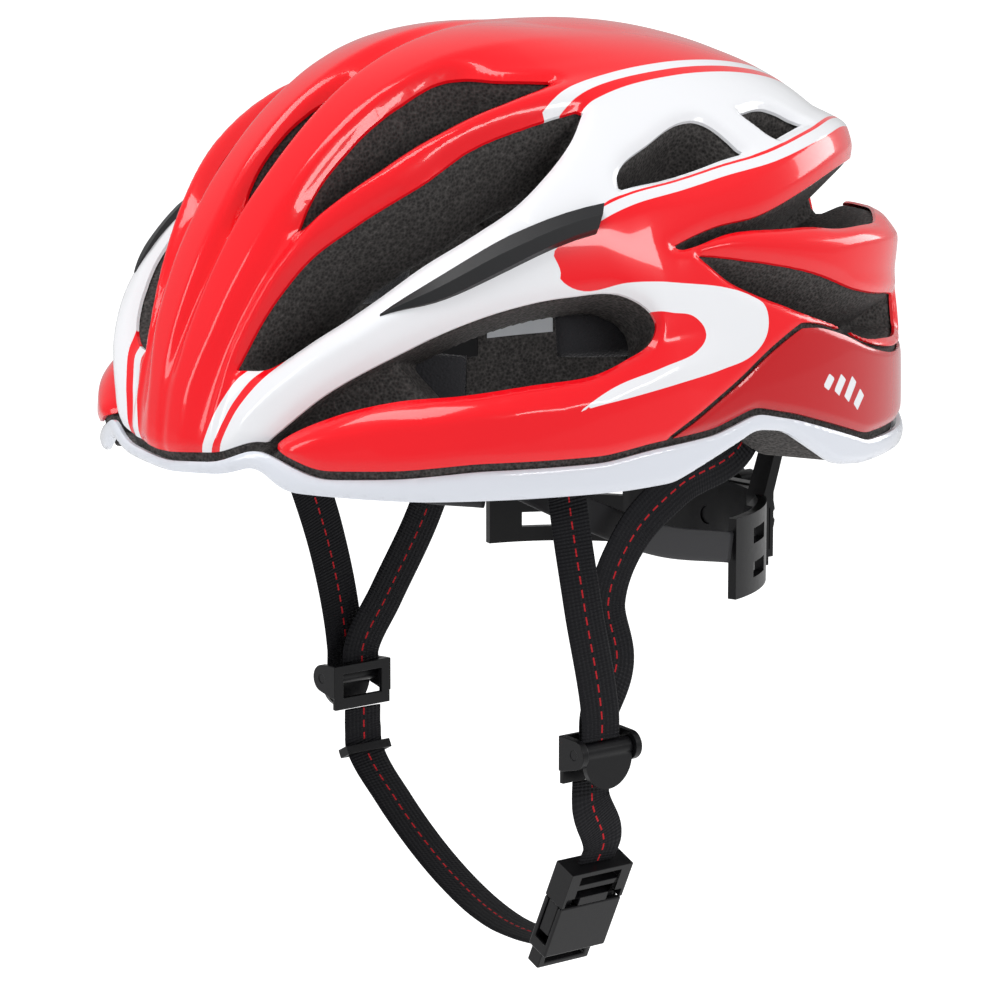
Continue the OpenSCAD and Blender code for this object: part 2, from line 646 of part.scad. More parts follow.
// Springy side prong with its release shoulder, hinged at the root
module prong(side) {
    flat = socket_gap - 2 * seat;
    root_y = side * prong_root;
    translate([-flat / 2, root_y - prong_thick / 2 + 0.2, -socket_length + 3])
        cube([flat, prong_thick - 0.4, socket_length - 2.8]);
    translate([-flat / 2, side > 0 ? root_y : root_y - 3.6, -socket_length + 4])
        cube([flat, 3.6, 12]);
}
module buckle_prong_front() color([0.08, 0.08, 0.09]) in_buckle() prong(-1);
module buckle_prong_rear() color([0.08, 0.08, 0.09]) in_buckle() prong(1);

eps_liner();
upper_shell();
lower_shell();
rear_panel_left();
rear_panel_right();
side_insert_left();
side_insert_right();
brow_pad();
crown_pad_left();
crown_pad_right();
side_pad_left();
side_pad_right();
strap_anchors();
belt_anchors();
cradle_anchors();
blank_label();
cradle();
cradle_cover();
cover_screws();
fit_dial();
belt_rack_left();
belt_rack_right();
side_belt_left();
side_belt_right();
front_strap_left();
front_strap_right();
rear_strap_left();
rear_strap_right();
divider_left();
divider_right();
divider_lever_left();
divider_lever_right();
chin_strap_left();
chin_strap_right();
strap_keeper();
buckle_female();
buckle_male();
buckle_prong_front();
buckle_prong_rear();
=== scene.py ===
import bmesh
import bpy
import numpy as np
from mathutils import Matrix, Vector


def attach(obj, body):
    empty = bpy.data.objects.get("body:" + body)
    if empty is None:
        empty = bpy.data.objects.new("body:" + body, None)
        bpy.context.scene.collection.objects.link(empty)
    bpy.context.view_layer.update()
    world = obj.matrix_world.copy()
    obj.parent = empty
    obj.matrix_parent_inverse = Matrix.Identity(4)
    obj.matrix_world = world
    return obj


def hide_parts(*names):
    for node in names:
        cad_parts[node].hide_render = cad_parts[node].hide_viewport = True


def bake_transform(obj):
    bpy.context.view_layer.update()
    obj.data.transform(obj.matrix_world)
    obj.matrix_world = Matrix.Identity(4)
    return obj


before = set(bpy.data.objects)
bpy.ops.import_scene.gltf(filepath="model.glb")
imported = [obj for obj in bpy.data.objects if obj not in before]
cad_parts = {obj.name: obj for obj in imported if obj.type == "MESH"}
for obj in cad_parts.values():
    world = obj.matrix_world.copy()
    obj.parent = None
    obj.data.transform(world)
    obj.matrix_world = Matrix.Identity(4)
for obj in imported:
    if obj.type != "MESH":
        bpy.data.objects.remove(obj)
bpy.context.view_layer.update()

# ---- camera ----
# A long lens from the rider's left and a little ahead, just above the rim.


def linked(name, data):
    """A new object with that data, in the scene."""
    made = bpy.data.objects.new(name, data)
    bpy.context.scene.collection.objects.link(made)
    return made


look_at = Vector((0, 0, 0.042))
azimuth, elevation, distance = np.radians(50), np.radians(8), 1.4
right = Vector((np.cos(azimuth), np.sin(azimuth), 0))
back = Vector((np.sin(azimuth), -np.cos(azimuth), 0)) * np.cos(elevation)
back.z = np.sin(elevation)
up = back.cross(right)
lens_camera = bpy.data.cameras.new("camera")
lens_camera.lens = 158.8
lens_camera.sensor_width = 36
lens_camera.clip_end = 50
camera = linked("camera", lens_camera)
camera.location = look_at + back * distance
# The aim is turned down and left by these slopes, so the lens is a little above the middle
aim_low, aim_left = 0.0453, 0.0011
aim = -back - up * aim_low - right * aim_left
camera.rotation_euler = aim.to_track_quat("-Z", "Y").to_euler()
bpy.context.scene.camera = camera

# ---- floor and lights ----
# A wide pale floor well below the straps, with large soft boxes overhead and at both sides.


def finish(name, colour, roughness, **more):
    """A material with one Principled shader. more names other inputs, with _ for a space."""
    made = bpy.data.materials.new(name)
    made.use_nodes = True
    shader = made.node_tree.nodes["Principled BSDF"]
    shader.inputs["Base Color"].default_value = (*colour, 1)
    shader.inputs["Roughness"].default_value = roughness
    for key, value in more.items():
        shader.inputs[key.replace("_", " ")].default_value = value
    return made


def add(mat, kind, inputs=(), **settings):
    """A new node in a material. Each input is (socket, number or the socket that feeds it)."""
    made = mat.node_tree.nodes.new("ShaderNode" + kind)
    for key, value in settings.items():
        setattr(made, key, value)
    for key, value in inputs:
        if isinstance(value, bpy.types.NodeSocket):
            mat.node_tree.links.new(value, made.inputs[key])
        else:
            made.inputs[key].default_value = value
    return made


def feed(mat, key, socket):
    """Joins a socket to an input of the material's Principled shader."""
    shader = mat.node_tree.nodes["Principled BSDF"]
    mat.node_tree.links.new(socket, shader.inputs[key])


def math(mat, operation, a, b=0.0, c=0.0):
    """The result of one Math node."""
    return add(mat, "Math", [(0, a), (1, b), (2, c)], operation=operation).outputs[0]


def object_places(mat):
    """The place on the piece in metres, which keeps its grain fixed to it."""
    return add(mat, "TexCoord").outputs["Object"]


def noise(mat, scale, detail=3.0):
    """Noise from 0 to 1, with that many features a metre."""
    return add(mat, "TexNoise", [
        ("Vector", object_places(mat)), ("Scale", scale), ("Detail", detail)]).outputs[0]


def varied(mat, scale, low, high):
    """Noise brought from 0 and 1 to low and high."""
    return add(mat, "MapRange", [
        ("Value", noise(mat, scale)), ("To Min", low), ("To Max", high)]).outputs[0]


floor_half, floor_level = 9.0, -0.62
floor_corners = [(x * floor_half, y * floor_half, floor_level)
                 for x, y in ((-1, -1), (1, -1), (1, 1), (-1, 1))]
floor_mesh = bpy.data.meshes.new("floor")
floor_mesh.from_pydata(floor_corners, [], [(0, 1, 2, 3)])
# The camera sees the floor and the sky almost white, but they light the helmet less than that
floor_glow = 0.25
paper = finish("floor_paper", (0.8, 0.8, 0.8), 0.9, Emission_Color=(1, 1, 1, 1))
seen = add(paper, "LightPath").outputs["Is Camera Ray"]
grain = varied(paper, 40.0, 0.6, 0.64)
feed(paper, "Emission Strength", math(paper, "MULTIPLY_ADD", seen, grain, floor_glow))
floor_mesh.materials.append(paper)
linked("floor", floor_mesh)

sky_light, sky_seen = 0.48, 1.0
world = bpy.data.worlds.new("studio")
world.use_nodes = True
tree = world.node_tree
sky = tree.nodes["Background"]
sky.inputs["Color"].default_value = (1, 1, 1, 1)
rays = tree.nodes.new("ShaderNodeLightPath")
strength = tree.nodes.new("ShaderNodeMapRange")
strength.inputs["To Min"].default_value = sky_light
strength.inputs["To Max"].default_value = sky_seen
tree.links.new(rays.outputs["Is Camera Ray"], strength.inputs["Value"])
tree.links.new(strength.outputs[0], sky.inputs["Strength"])
bpy.context.scene.world = world
bpy.context.scene.view_settings.view_transform = "Standard"


def soft_box(name, place, size, power):
    """An area light aimed at the helmet."""
    light = bpy.data.lights.new(name, "AREA")
    light.shape = "RECTANGLE"
    light.size, light.size_y = size
    light.energy = power
    made = linked(name, light)
    made.location = place
    made.rotation_euler = (look_at - Vector(place)).to_track_quat("-Z", "Y").to_euler()


soft_box("box_over", (0.1, -0.5, 1.7), (1.3, 0.6), 15)
soft_box("box_front", (-0.6, -1.7, 0.75), (0.5, 1.2), 9)
soft_box("box_side", (1.9, 0.45, 0.8), (1.4, 0.25), 11)
soft_box("box_behind", (0.2, 2.0, 0.5), (0.9, 0.7), 8)

# ---- foam liner ----
# Black expanded foam, moulded in one piece with the vents cored through it. Its outer
# surface lies just under the shells, and it is left bare in the vents and at the foam line.

# Half width, reach to the front, reach to the rear and height, of the shells and of the head space
SHELL = (0.1025, 0.134, 0.138, 0.131)
HEAD = (0.078, 0.101, 0.104, 0.101)
# Metres that one degree stands for on the shells
DEGREE = 0.0022


def mixed(mat, share, low, high):
    """Colour between low and high, by a share from 0 to 1. Each is a colour or a socket."""
    node = add(mat, "Mix", data_type="RGBA")
    for key, value in (("Factor", share), ("A", low), ("B", high)):
        socket = [s for s in node.inputs if s.name == key and s.enabled][0]
        if isinstance(value, bpy.types.NodeSocket):
            mat.node_tree.links.new(value, socket)
        else:
            socket.default_value = value if isinstance(value, float) else (*value, 1)
    return [s for s in node.outputs if s.enabled][0]


def bump(mat, height, depth, strength=1.0):
    """Bump from a height of 0 to 1 that stands for depth metres."""
    node = add(mat, "Bump", [("Height", height), ("Distance", depth), ("Strength", strength)])
    feed(mat, "Normal", node.outputs[0])


def columns(*parts):
    """Arrays side by side as the last axis of one."""
    return np.stack(parts, -1)


def towards(q):
    """Unit vectors at places in the flat chart: q is degrees sideways and rearward from the crown.
    The angle from straight up is the length of q, and its heading is that of q."""
    a = np.radians(q)
    tilt = np.hypot(a[:, 0], a[:, 1])
    share = np.sinc(tilt / np.pi)
    return columns(a[:, 0] * share, a[:, 1] * share, np.cos(tilt))


def reach(d, half, front, rear, height):
    """Distance from the origin to the head shape along unit vectors d: a plan that is a
    superellipse, joined to the height by a power that grows from the front to the rear."""
    plan_power, under = 2.3, 0.06
    x, y, z = np.abs(d[:, 0]), d[:, 1], d[:, 2]
    power = 2.3 + 0.55 * y + 0.1 * y ** 2
    length = np.where(y < 0, front, rear)
    plan = ((x / half) ** plan_power + (np.abs(y) / length) ** plan_power) ** (1 / plan_power)
    return (plan ** power + (np.abs(z) / np.where(z > 0, height, under)) ** power) ** (-1 / power)


def unit(rows):
    """Rows brought to a length of one."""
    return rows / np.maximum(np.linalg.norm(rows, axis=1, keepdims=True), 1e-12)


def curve(points, corners=(), closed=True, fine=7):
    """Smooth curve through points, sharp at the corners: a cubic between each two points,
    whose end slopes run from each point's one neighbour to the other."""
    p = np.array(points, float)
    n = len(p)
    step = np.roll(p, -1, 0) - p
    span = np.linalg.norm(step, axis=1, keepdims=True)
    slope = unit(unit(step) + unit(np.roll(step, 1, 0)))
    sharp = np.zeros(n, bool)
    sharp[list(corners) + ([] if closed else [0, n - 1])] = True
    leave = np.where(sharp[:, None], step, slope * span)
    arrive = np.where(np.roll(sharp, -1)[:, None], step, np.roll(slope, -1, 0) * span)
    t = (np.arange(fine) / fine)[None, :, None]
    a, b = p[:, None], np.roll(p, -1, 0)[:, None]
    leave, arrive = leave[:, None], arrive[:, None]
    made = (a * (2 * t ** 3 - 3 * t ** 2 + 1) + leave * (t ** 3 - 2 * t ** 2 + t)
            + b * (3 * t ** 2 - 2 * t ** 3) + arrive * (t ** 3 - t ** 2)).reshape(n * fine, -1)
    return made if closed else np.vstack([made[:(n - 1) * fine], p[-1:]])


def gaps(q, a, b):
    """For each place and each segment from a to b: the distance, the share of the way from a
    to b, which is under 0 or over 1 past an end, and the offset from a."""
    ab = b - a
    rel = q[:, None, :] - a[None]
    t = (rel * ab).sum(-1) / np.maximum((ab * ab).sum(-1), 1e-12)
    off = rel - np.clip(t, 0, 1)[..., None] * ab
    return np.hypot(off[..., 0], off[..., 1]), t, rel


def folded(q):
    """Chart places brought to the side where u is positive."""
    return columns(np.abs(q[:, 0]), q[:, 1])


def inside(q, outline, far=9.0):
    """Signed distance in degrees from each chart place to a closed outline, positive inside,
    and held to -far where the place is far outside. The chart is folded to one side."""
    q = folded(q)
    found = np.full(len(q), -far)
    near = np.all((q > outline.min(0) - far) & (q < outline.max(0) + far), -1)
    a, b = outline, np.roll(outline, -1, 0)
    p = q[near]
    away = gaps(p, a, b)[0].min(1)
    above = (a[:, 1] > p[:, 1:]) != (b[:, 1] > p[:, 1:])
    rise = np.where(b[:, 1] == a[:, 1], 1, b[:, 1] - a[:, 1])
    left_of = p[:, :1] < a[:, 0] + (p[:, 1:] - a[:, 1]) * (b[:, 0] - a[:, 0]) / rise
    odd = (above & left_of).sum(1) % 2 == 1
    found[near] = np.where(odd, away, -np.minimum(away, far))
    return found


def beside(q, line, far=9.0):
    """Signed distance in degrees from each chart place to an open line, positive on its outer
    side, and plus or minus far beyond the line's ends."""
    q = folded(q)
    a, b = line[:-1], line[1:]
    found = []
    for part in np.array_split(q, 12):
        away, t, rel = gaps(part, a, b)
        best = away.argmin(1)
        rows = np.arange(len(best))
        ab = (b - a)[best]
        turn = ab[:, 0] * rel[rows, best, 1] - ab[:, 1] * rel[rows, best, 0]
        past = ((best == 0) & (t[rows, best] < 0)) | ((best == len(a) - 1) & (t[rows, best] > 1))
        size = np.where(past, far, np.minimum(away[rows, best], far))
        found.append(np.where(turn < 0, 1, -1) * size)
    return np.concatenate(found)


# Outlines of the vents on one side, in degrees of the chart
VENTS = {
    "slit": curve([
        (0, -56), (1.6, -49), (1.9, -40), (1.2, -33), (0, -28), (-1.2, -33), (-1.9, -40),
        (-1.6, -49)], (0, 4)),
    "upper": curve([
        (12.7, -53.3), (15.2, -48.7), (18, -42), (20.2, -33.1), (21.7, -24.2), (22.6, -15),
        (22.2, -9.2), (18, -15.9), (13.6, -20.5), (12, -28.7), (11.3, -39.8),
        (11.6, -48.7)], (0, 6)),
    "front": curve([
        (13.3, -73.4), (20.2, -70.9), (26.9, -63.1), (31.3, -55.3), (34.1, -46.4), (36.3, -37.6),
        (36.9, -28.7), (35.2, -20.9), (32.4, -14.2), (28.3, -8.7), (27.4, -17.6), (25.8, -28.7),
        (24.9, -37.6), (21.3, -47.6), (17.8, -55.3), (15.2, -64.2)], (0, 9)),
    "side": curve([
        (12, -88.5), (23.6, -83), (26, -79.6), (34.7, -71.4), (43.6, -63.1), (52.4, -54.2),
        (60.2, -42), (65, -30.9), (65.8, -22), (64.7, -14.8), (62.4, -13.1), (56.9, -17.6),
        (52.4, -28.7), (48, -39.8), (43.6, -49.8), (39.1, -58.7), (32.4, -68.7),
        (23.5, -80.3)], (0,)),
    "quarter": curve([
        (42.4, -12), (40.2, -10.9), (36.3, -2), (33, 8.5), (33.8, 11.2), (38.6, 15.8),
        (39.7, 11.3), (41.3, 4.7), (42.4, -3.1)], (0, 5)),
    "quarter_rear": curve([
        (31.3, 18.6), (28.8, 25.5), (29.7, 31.9), (32.4, 28), (35.2, 23.6)], (0, 2, 4)),
    "fin_gap": curve([
        (52.4, -5.9), (50.2, 4.7), (48, 15.8), (42.4, 26.9), (32.4, 39.7), (23, 48.5), (11.5, 55),
        (11.5, 61.5), (20, 58.5), (29, 53.5), (36.3, 48.5), (41.5, 42), (45.5, 35), (47.6, 28),
        (49.7, 20.2), (51.3, 8), (53, -3.1)], (0, 6, 7, 9)),
    "tail_gap": curve([
        (54.1, -1), (55.2, 11.3), (55, 21.3), (53.6, 32.4), (51.6, 41.3), (47.5, 49.5),
        (41, 57.5), (33, 65), (36, 68), (43, 63.8), (50, 57), (56, 48.6), (59.6, 37),
        (61.2, 24.7), (59.1, 8)], (0, 7, 8)),
    "tail": curve([
        (3.2, 45), (8.5, 48), (12, 57), (13, 67), (12, 76), (3.5, 79), (3, 66)], (0, 4, 5)),
}
# How far each vent's walls draw in towards the head, in degrees
DRAW = {"slit": 0.4, "upper": 1.8, "front": 2.6, "side": -1.5, "quarter": 1.8, "quarter_rear": 1.6,
        "fin_gap": 1.8, "tail_gap": 4.2, "tail": 1.5}
# Share of the wall at which a vent's shallow end has its floor, and from where to where the
# floor falls away, in degrees rearward
FLOORS = {"side": (0.7, -60, -54), "fin_gap": (0.5, 17, 24), "tail_gap": (0.5, 9, 15)}
# Outline of the rear panel on one side
PANEL = curve([
    (81.6, -16), (79.4, -5.5), (75.2, 6.2), (69.4, 16.4), (64, 25.2), (62.4, 31), (60.8, 38),
    (57.2, 49.5), (51.6, 58.5), (44.2, 65.5), (30, 74.2), (36, 92), (66, 80), (88, 50), (95, 20),
    (93, -16)], (0, 4, 10, 11, 15))
# Colatitude of the rim and of the foam line's upper edge, by heading from the front
RIM = [(0, 89), (11, 88.1), (16, 86.4), (20, 89.5), (38, 90.4), (70, 90.8), (80, 90.4), (92, 86),
       (99, 83.4),
       (106, 84.5), (112, 88), (119, 92), (127, 93), (150, 93), (166, 91), (180, 90)]
BELT = [(0, 86.4), (10, 85.4), (16, 83), (25, 86.4), (36, 86), (46, 85), (66, 84.6), (75, 83.2),
        (89, 82),
        (93, 81), (99, 79.5), (109, 82), (117, 84.6), (129, 88.5), (150, 89), (166, 87), (180, 86)]
FOAM_LINE = 1.2


def below(q, table, ease=6):
    """Degrees from each chart place down to an edge given by heading, whose corners are
    rounded over ease degrees."""
    headings = np.arange(-40, 220.5, 0.5)
    from_front = np.minimum(np.abs(headings), 360 - np.abs(headings))
    tilts = np.interp(from_front, *np.array(table, float).T)
    window = np.hanning(2 * ease + 3)[1:-1]
    tilts = np.convolve(tilts, window / window.sum(), "same")
    heading = np.degrees(np.arctan2(np.abs(q[:, 0]), -q[:, 1]))
    return np.interp(heading, headings, tilts) - np.hypot(q[:, 0], q[:, 1])


def vent_depth(q):
    """Degrees inside the nearest vent, negative outside all of them."""
    return np.max([inside(q, outline) for outline in VENTS.values()], 0)


# Heights over the plain head shape at lines that run from the brow to the crown: the middle,
# the body's two crests, the upper vent's edges, the red rib, the front vent's edges, the white
# rib, the side vent's edges, the wing's crest and the foam line. Each row is degrees rearward,
# then the lines' degrees sideways, then their mm.
SECTIONS = [
    (-86, (0, 1.6, 5, 9, 10.5, 12, 13, 14, 16, 19, 22, 25, 94),
     (1.5, 2, 1.8, 0.2, 0, 0.3, 0, 0, 0.6, 0, 0, 1, 0)),
    (-78, (0, 1.8, 5.5, 9.5, 11, 12, 13.2, 14, 20, 25, 27.2, 31, 94),
     (2.6, 3.2, 2.8, 0, -0.4, 0.4, -0.6, -1, 1.6, -1, -1, 2, 0)),
    (-70, (0, 2, 8, 10.5, 11.5, 12.6, 14.2, 21, 26.5, 31.5, 36.2, 41, 94),
     (0.5, 3.4, 3.2, -0.6, -0.6, 1, -1, -1, 2.6, -1, -1, 3, 0)),
    (-60, (0, 2.2, 9, 11.8, 12.6, 14.6, 16.4, 28.7, 33.5, 38.3, 46.8, 52, 94),
     (-1.5, 3.4, 3.4, -1, -1, 2.2, -1, -1, 3, -1, -1, 3.2, 0)),
    (-50, (0, 2.4, 9.6, 11.7, 14.7, 17.2, 19.9, 33.2, 38.5, 43.5, 55.2, 60, 94),
     (-2.5, 3.4, 3.4, -1, -1, 2.8, -1, -1, 3, -1, -1, 3.2, 0)),
    (-40, (0, 2.6, 9.9, 11.3, 18.4, 21.3, 24, 35.9, 42, 47.9, 61.2, 66, 94),
     (-2.5, 3.4, 3.2, -1, -1, 3, -1, -1, 3, -1, -1, 3, 0)),
    (-30, (0, 2.6, 10.3, 12, 20.8, 23.4, 25.8, 36.9, 44.5, 51.9, 65.1, 70, 94),
     (-2.5, 3.2, 3, -1, -1, 3, -1, -1, 3, -1, -1, 2.8, 0)),
    (-20, (0, 2.4, 11.4, 13.6, 22.2, 24.8, 27.2, 34.9, 46, 55.9, 65.6, 71, 94),
     (-1, 2.6, 2.6, -1, -1, 2.6, -1, -1, 3, -1, -1, 2.6, 0)),
    (-10, (0, 2.2, 13, 19, 22.6, 25.5, 28.2, 30, 46.5, 62, 66, 71, 94),
     (0.4, 1.8, 2, 0, 0, 2, 0, 0, 2.6, 0, 0, 2.2, 0)),
    (5, (0, 2, 13, 20, 23, 25, 28, 29, 46, 62, 66, 70, 94),
     (1.4, 1.4, 1.4, 0.6, 0.6, 1, 0, 0, 1.5, 0, 0, 1, 0))]
# Crests at the rear: a line in the chart, its heights at both ends in mm, and its half width
# in degrees. They are the two fins of each side and the ridge on the tail.
CRESTS = [
    (curve([(46.6, -14), (46.8, 0), (45.2, 10), (41.6, 19), (36, 28.5), (28.5, 38), (20, 46),
            (10, 51)], (), False), 1.5, 4.5, 4.5),
    (curve([(54.4, -6), (53.4, 8), (52.4, 20), (50, 31), (46, 39.5), (39.5, 49), (30, 58),
            (19, 64)], (), False), 1.5, 4, 4.2),
    (curve([(-5, 8), (0, 8), (0, 20), (0, 34), (0, 48)], (), False), 1.2, 2.0, 9)]
# Degrees rearward over which the front's heights fade out
FRONT_FADES = (-12, 10)
# Metres that the shells lie inside the plain head shape
SUNK = 0.0012
# Width in degrees of the groove round the rear panel
GROOVE = 0.9
# Width and depth in metres of the rolled edges at a vent, at the foam line and at the groove
VENT_ROLL, BELT_ROLL, GROOVE_ROLL = (0.0042, 0.0026), (0.003, 0.0016), (0.003, 0.0013)


def rolled(away, width, depth):
    """Drop of a surface towards its edge: a quarter round that starts width inside the edge."""
    x = np.clip(1 - away / width, 0, 1)
    return depth * (1 - np.sqrt(np.clip(1 - x * x, 0, 1)))


def crest(q, line, low, high, wide):
    """Height in mm of a tent over a line, from low to high along it. It falls to nothing wide
    degrees away and at the line's start, and to half at its end."""
    q = folded(q)
    near = np.all((q > line.min(0) - wide) & (q < line.max(0) + wide), -1)
    away, t, _ = gaps(q[near], line[:-1], line[1:])
    best = away.argmin(1)
    rows = np.arange(len(best))
    share = (best + np.clip(t[rows, best], 0, 1)) / (len(line) - 1)
    made = np.zeros(len(q))
    tall = np.interp(share, (0, 0.15, 0.92, 1), (0, low, high, high * 0.5))
    made[near] = tall * np.clip(1 - away[rows, best] / wide, 0, 1)
    return made


def relief_map(step=0.4, reach_to=100):
    """Height of the shells over the plain head shape on a chart grid, in metres: straight
    between the crests and edges of the front, tents over the crests of the rear, and edges
    rolled in at every vent, groove and belt. It is blurred twice, so that crests are rounded."""
    u, v = np.arange(-8, reach_to, step), np.arange(-reach_to, reach_to, step)
    rearward, sideways, heights = (np.array(part, float) for part in zip(*SECTIONS))
    sideways, heights = (np.stack([np.interp(v, rearward, line) for line in table.T], -1)
                         for table in (sideways, heights))
    front = np.stack([np.interp(np.abs(u), *line) for line in zip(sideways, heights)], 1)
    ease = np.clip((v - FRONT_FADES[0]) / (FRONT_FADES[1] - FRONT_FADES[0]), 0, 1)
    q = np.stack(np.meshgrid(u, v, indexing="ij"), -1).reshape(-1, 2)
    height = (front * (1 - ease * ease * (3 - 2 * ease))).reshape(-1)
    height = height + sum(crest(q, *line) for line in CRESTS)
    height = height * 0.001 - SUNK
    belt = below(q, BELT)
    height -= rolled(-vent_depth(q) * DEGREE, *VENT_ROLL)
    height -= rolled(belt * DEGREE, *BELT_ROLL) * (belt > -3)
    height -= rolled(np.abs(inside(q, PANEL) + GROOVE / 2) * DEGREE, *GROOVE_ROLL)
    height = height.reshape(len(u), len(v))
    for _ in range(2):
        height = (height + (np.roll(height, 1, 0) + np.roll(height, -1, 0)) / 2) / 2
        height = (height + (np.roll(height, 1, 1) + np.roll(height, -1, 1)) / 2) / 2
    return height, (u[0], v[0]), step


RELIEF, RELIEF_START, RELIEF_STEP = relief_map()


def relief(q):
    """The relief at chart places, read from its map by a cubic B-spline over the 4 by 4
    nearest cells."""
    place = (folded(q) - RELIEF_START) / RELIEF_STEP
    base = np.floor(place).astype(int)
    t = place - base
    weights = columns((1 - t) ** 3, 3 * t ** 3 - 6 * t ** 2 + 4,
                      -3 * t ** 3 + 3 * t ** 2 + 3 * t + 1, t ** 3) / 6
    made = np.zeros(len(q))
    for i in range(4):
        for j in range(4):
            a = np.clip(base[:, 0] + i - 1, 0, RELIEF.shape[0] - 1)
            b = np.clip(base[:, 1] + j - 1, 0, RELIEF.shape[1] - 1)
            made += weights[:, 0, i] * weights[:, 1, j] * RELIEF[a, b]
    return made


def on_shell(q, inward=0.0):
    """Places on the shells' outer surface, or that far inside it, in metres."""
    d = towards(q)
    return d * (reach(d, *SHELL) + relief(q) - inward)[:, None]


def net(field):
    """Surface where a field on a grid of three indices crosses zero, solid where it is positive.
    Each grid cell that it crosses has one vertex, at the mean of the crossings of its edges, and
    each grid edge that it crosses has one quad between the four cells round it."""
    cells = tuple(n - 1 for n in field.shape)
    total, count = np.zeros(cells + (3,)), np.zeros(cells)
    crossed = []
    for axis in range(3):
        low = tuple(slice(0, -1) if a == axis else slice(None) for a in range(3))
        high = tuple(slice(1, None) if a == axis else slice(None) for a in range(3))
        a, b = field[low], field[high]
        cross = (a > 0) != (b > 0)
        share = np.where(cross, a / np.where(cross, a - b, 1), 0)
        crossed.append((cross, a > 0))
        one, two = (axis + 1) % 3, (axis + 2) % 3
        for i in (0, 1):
            for j in (0, 1):
                part = [slice(None)] * 3
                part[one], part[two] = slice(i, i + cells[one]), slice(j, j + cells[two])
                hit = cross[tuple(part)]
                count += hit
                total[..., axis] += share[tuple(part)]
                total[..., one] += hit * i
                total[..., two] += hit * j
    used = count > 0
    number = np.full(cells, -1)
    number[used] = np.arange(used.sum())
    corners = np.stack(np.nonzero(used), -1) + total[used] / count[used][:, None]
    quads = []
    for axis, (cross, solid_low) in enumerate(crossed):
        one, two = (axis + 1) % 3, (axis + 2) % 3
        core = [slice(None)] * 3
        core[one] = core[two] = slice(1, -1)
        at = np.stack(np.nonzero(cross[tuple(core)]), -1)
        ends = solid_low[tuple(core)][tuple(at.T)]
        at[:, one] += 1
        at[:, two] += 1
        ring = []
        for i, j in ((-1, -1), (0, -1), (0, 0), (-1, 0)):
            cell = at.copy()
            cell[:, one] += i
            cell[:, two] += j
            ring.append(number[tuple(cell.T)])
        ring = np.stack(ring, -1)
        quads.append(np.where(ends[:, None], ring, ring[:, ::-1]))
    return corners, np.vstack(quads)


def mesh_of(name, places, faces, mat):
    """A smooth mesh from arrays of places and of faces that all have the same number of corners."""
    mesh = bpy.data.meshes.new(name)
    mesh.from_pydata(places.tolist(), [], faces.tolist())
    mesh.shade_smooth()
    mesh.materials.append(mat)
    return mesh


foam = finish("foam", (0.03, 0.028, 0.027), 0.78, Specular_IOR_Level=0.35)
beads = add(foam, "TexVoronoi", [("Vector", object_places(foam)), ("Scale", 900.0)])
speckle = math(foam, "MULTIPLY", noise(foam, 1500.0, 2.0), beads.outputs["Distance"])
feed(foam, "Base Color", mixed(foam, speckle, (0.012, 0.011, 0.011), (0.19, 0.175, 0.168)))
bump(foam, beads.outputs["Distance"], 0.0004, 0.7)

# The liner is where a field of degrees is positive, on a grid of the chart by the wall's layers
LINER_STEP, LINER_REACH, LINER_LAYERS = 0.88, 97, 13
LINER_WALL = 0.030
# Degrees that the foam ends above the shell's rim
RIM_GAP = 0.4
# Metres that the foam lies inside the shells' outer surface, and further in at the lower shell
UNDER_SKIN, UNDER_LOWER = 0.0016, 0.003
side_line = np.arange(-LINER_REACH, LINER_REACH + 0.1, LINER_STEP)
grid = np.stack(np.meshgrid(side_line, side_line, indexing="ij"), -1).reshape(-1, 2)
shape = (len(side_line), len(side_line))
wall = LINER_WALL / DEGREE
levels = (np.arange(LINER_LAYERS + 4) - 1.5) / LINER_LAYERS
level = levels[None, None, :]
liner_field = np.minimum(level, 1 - level) * wall * np.ones(shape + (1,))
liner_field = np.minimum(liner_field, below(grid, RIM).reshape(shape)[..., None] - RIM_GAP)
for vent, outline in VENTS.items():
    depth = inside(grid, outline).reshape(shape)[..., None]
    cut = depth - DRAW[vent] * np.clip(1 - level, 0, 1)
    if vent in FLOORS:
        floor_share, floor_from, floor_to = FLOORS[vent]
        rearward = grid[:, 1].reshape(shape)[..., None]
        fall = np.clip((rearward - floor_from) / (floor_to - floor_from), 0, 1)
        cut = np.minimum(cut, (level - floor_share * (1 - fall) + 2 * fall) * wall)
    liner_field = np.minimum(liner_field, -cut)
corners, quads = net(liner_field)
liner_q = side_line[0] + corners[:, :2] * LINER_STEP
liner_d = towards(liner_q)
share = np.interp(corners[:, 2], np.arange(len(levels)), levels)
inner = reach(liner_d, *HEAD)
under_lower = np.clip((-below(liner_q, BELT) - FOAM_LINE) / 0.5, 0, 1)
outer = reach(liner_d, *SHELL) + relief(liner_q) * (1 - under_lower)
outer -= UNDER_SKIN + UNDER_LOWER * under_lower
liner_places = liner_d * (inner + (outer - inner) * share)[:, None]
liner = linked("liner", mesh_of("liner", liner_places, quads, foam))
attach(liner, "helmet")
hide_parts("eps_liner")

# ---- upper shell ----
# Thin glossy skin moulded on the foam from the brow to the tail, with its edges rolled into
# the vents. Red, with white ribs, a white hook behind the side vent, and fine stripes.


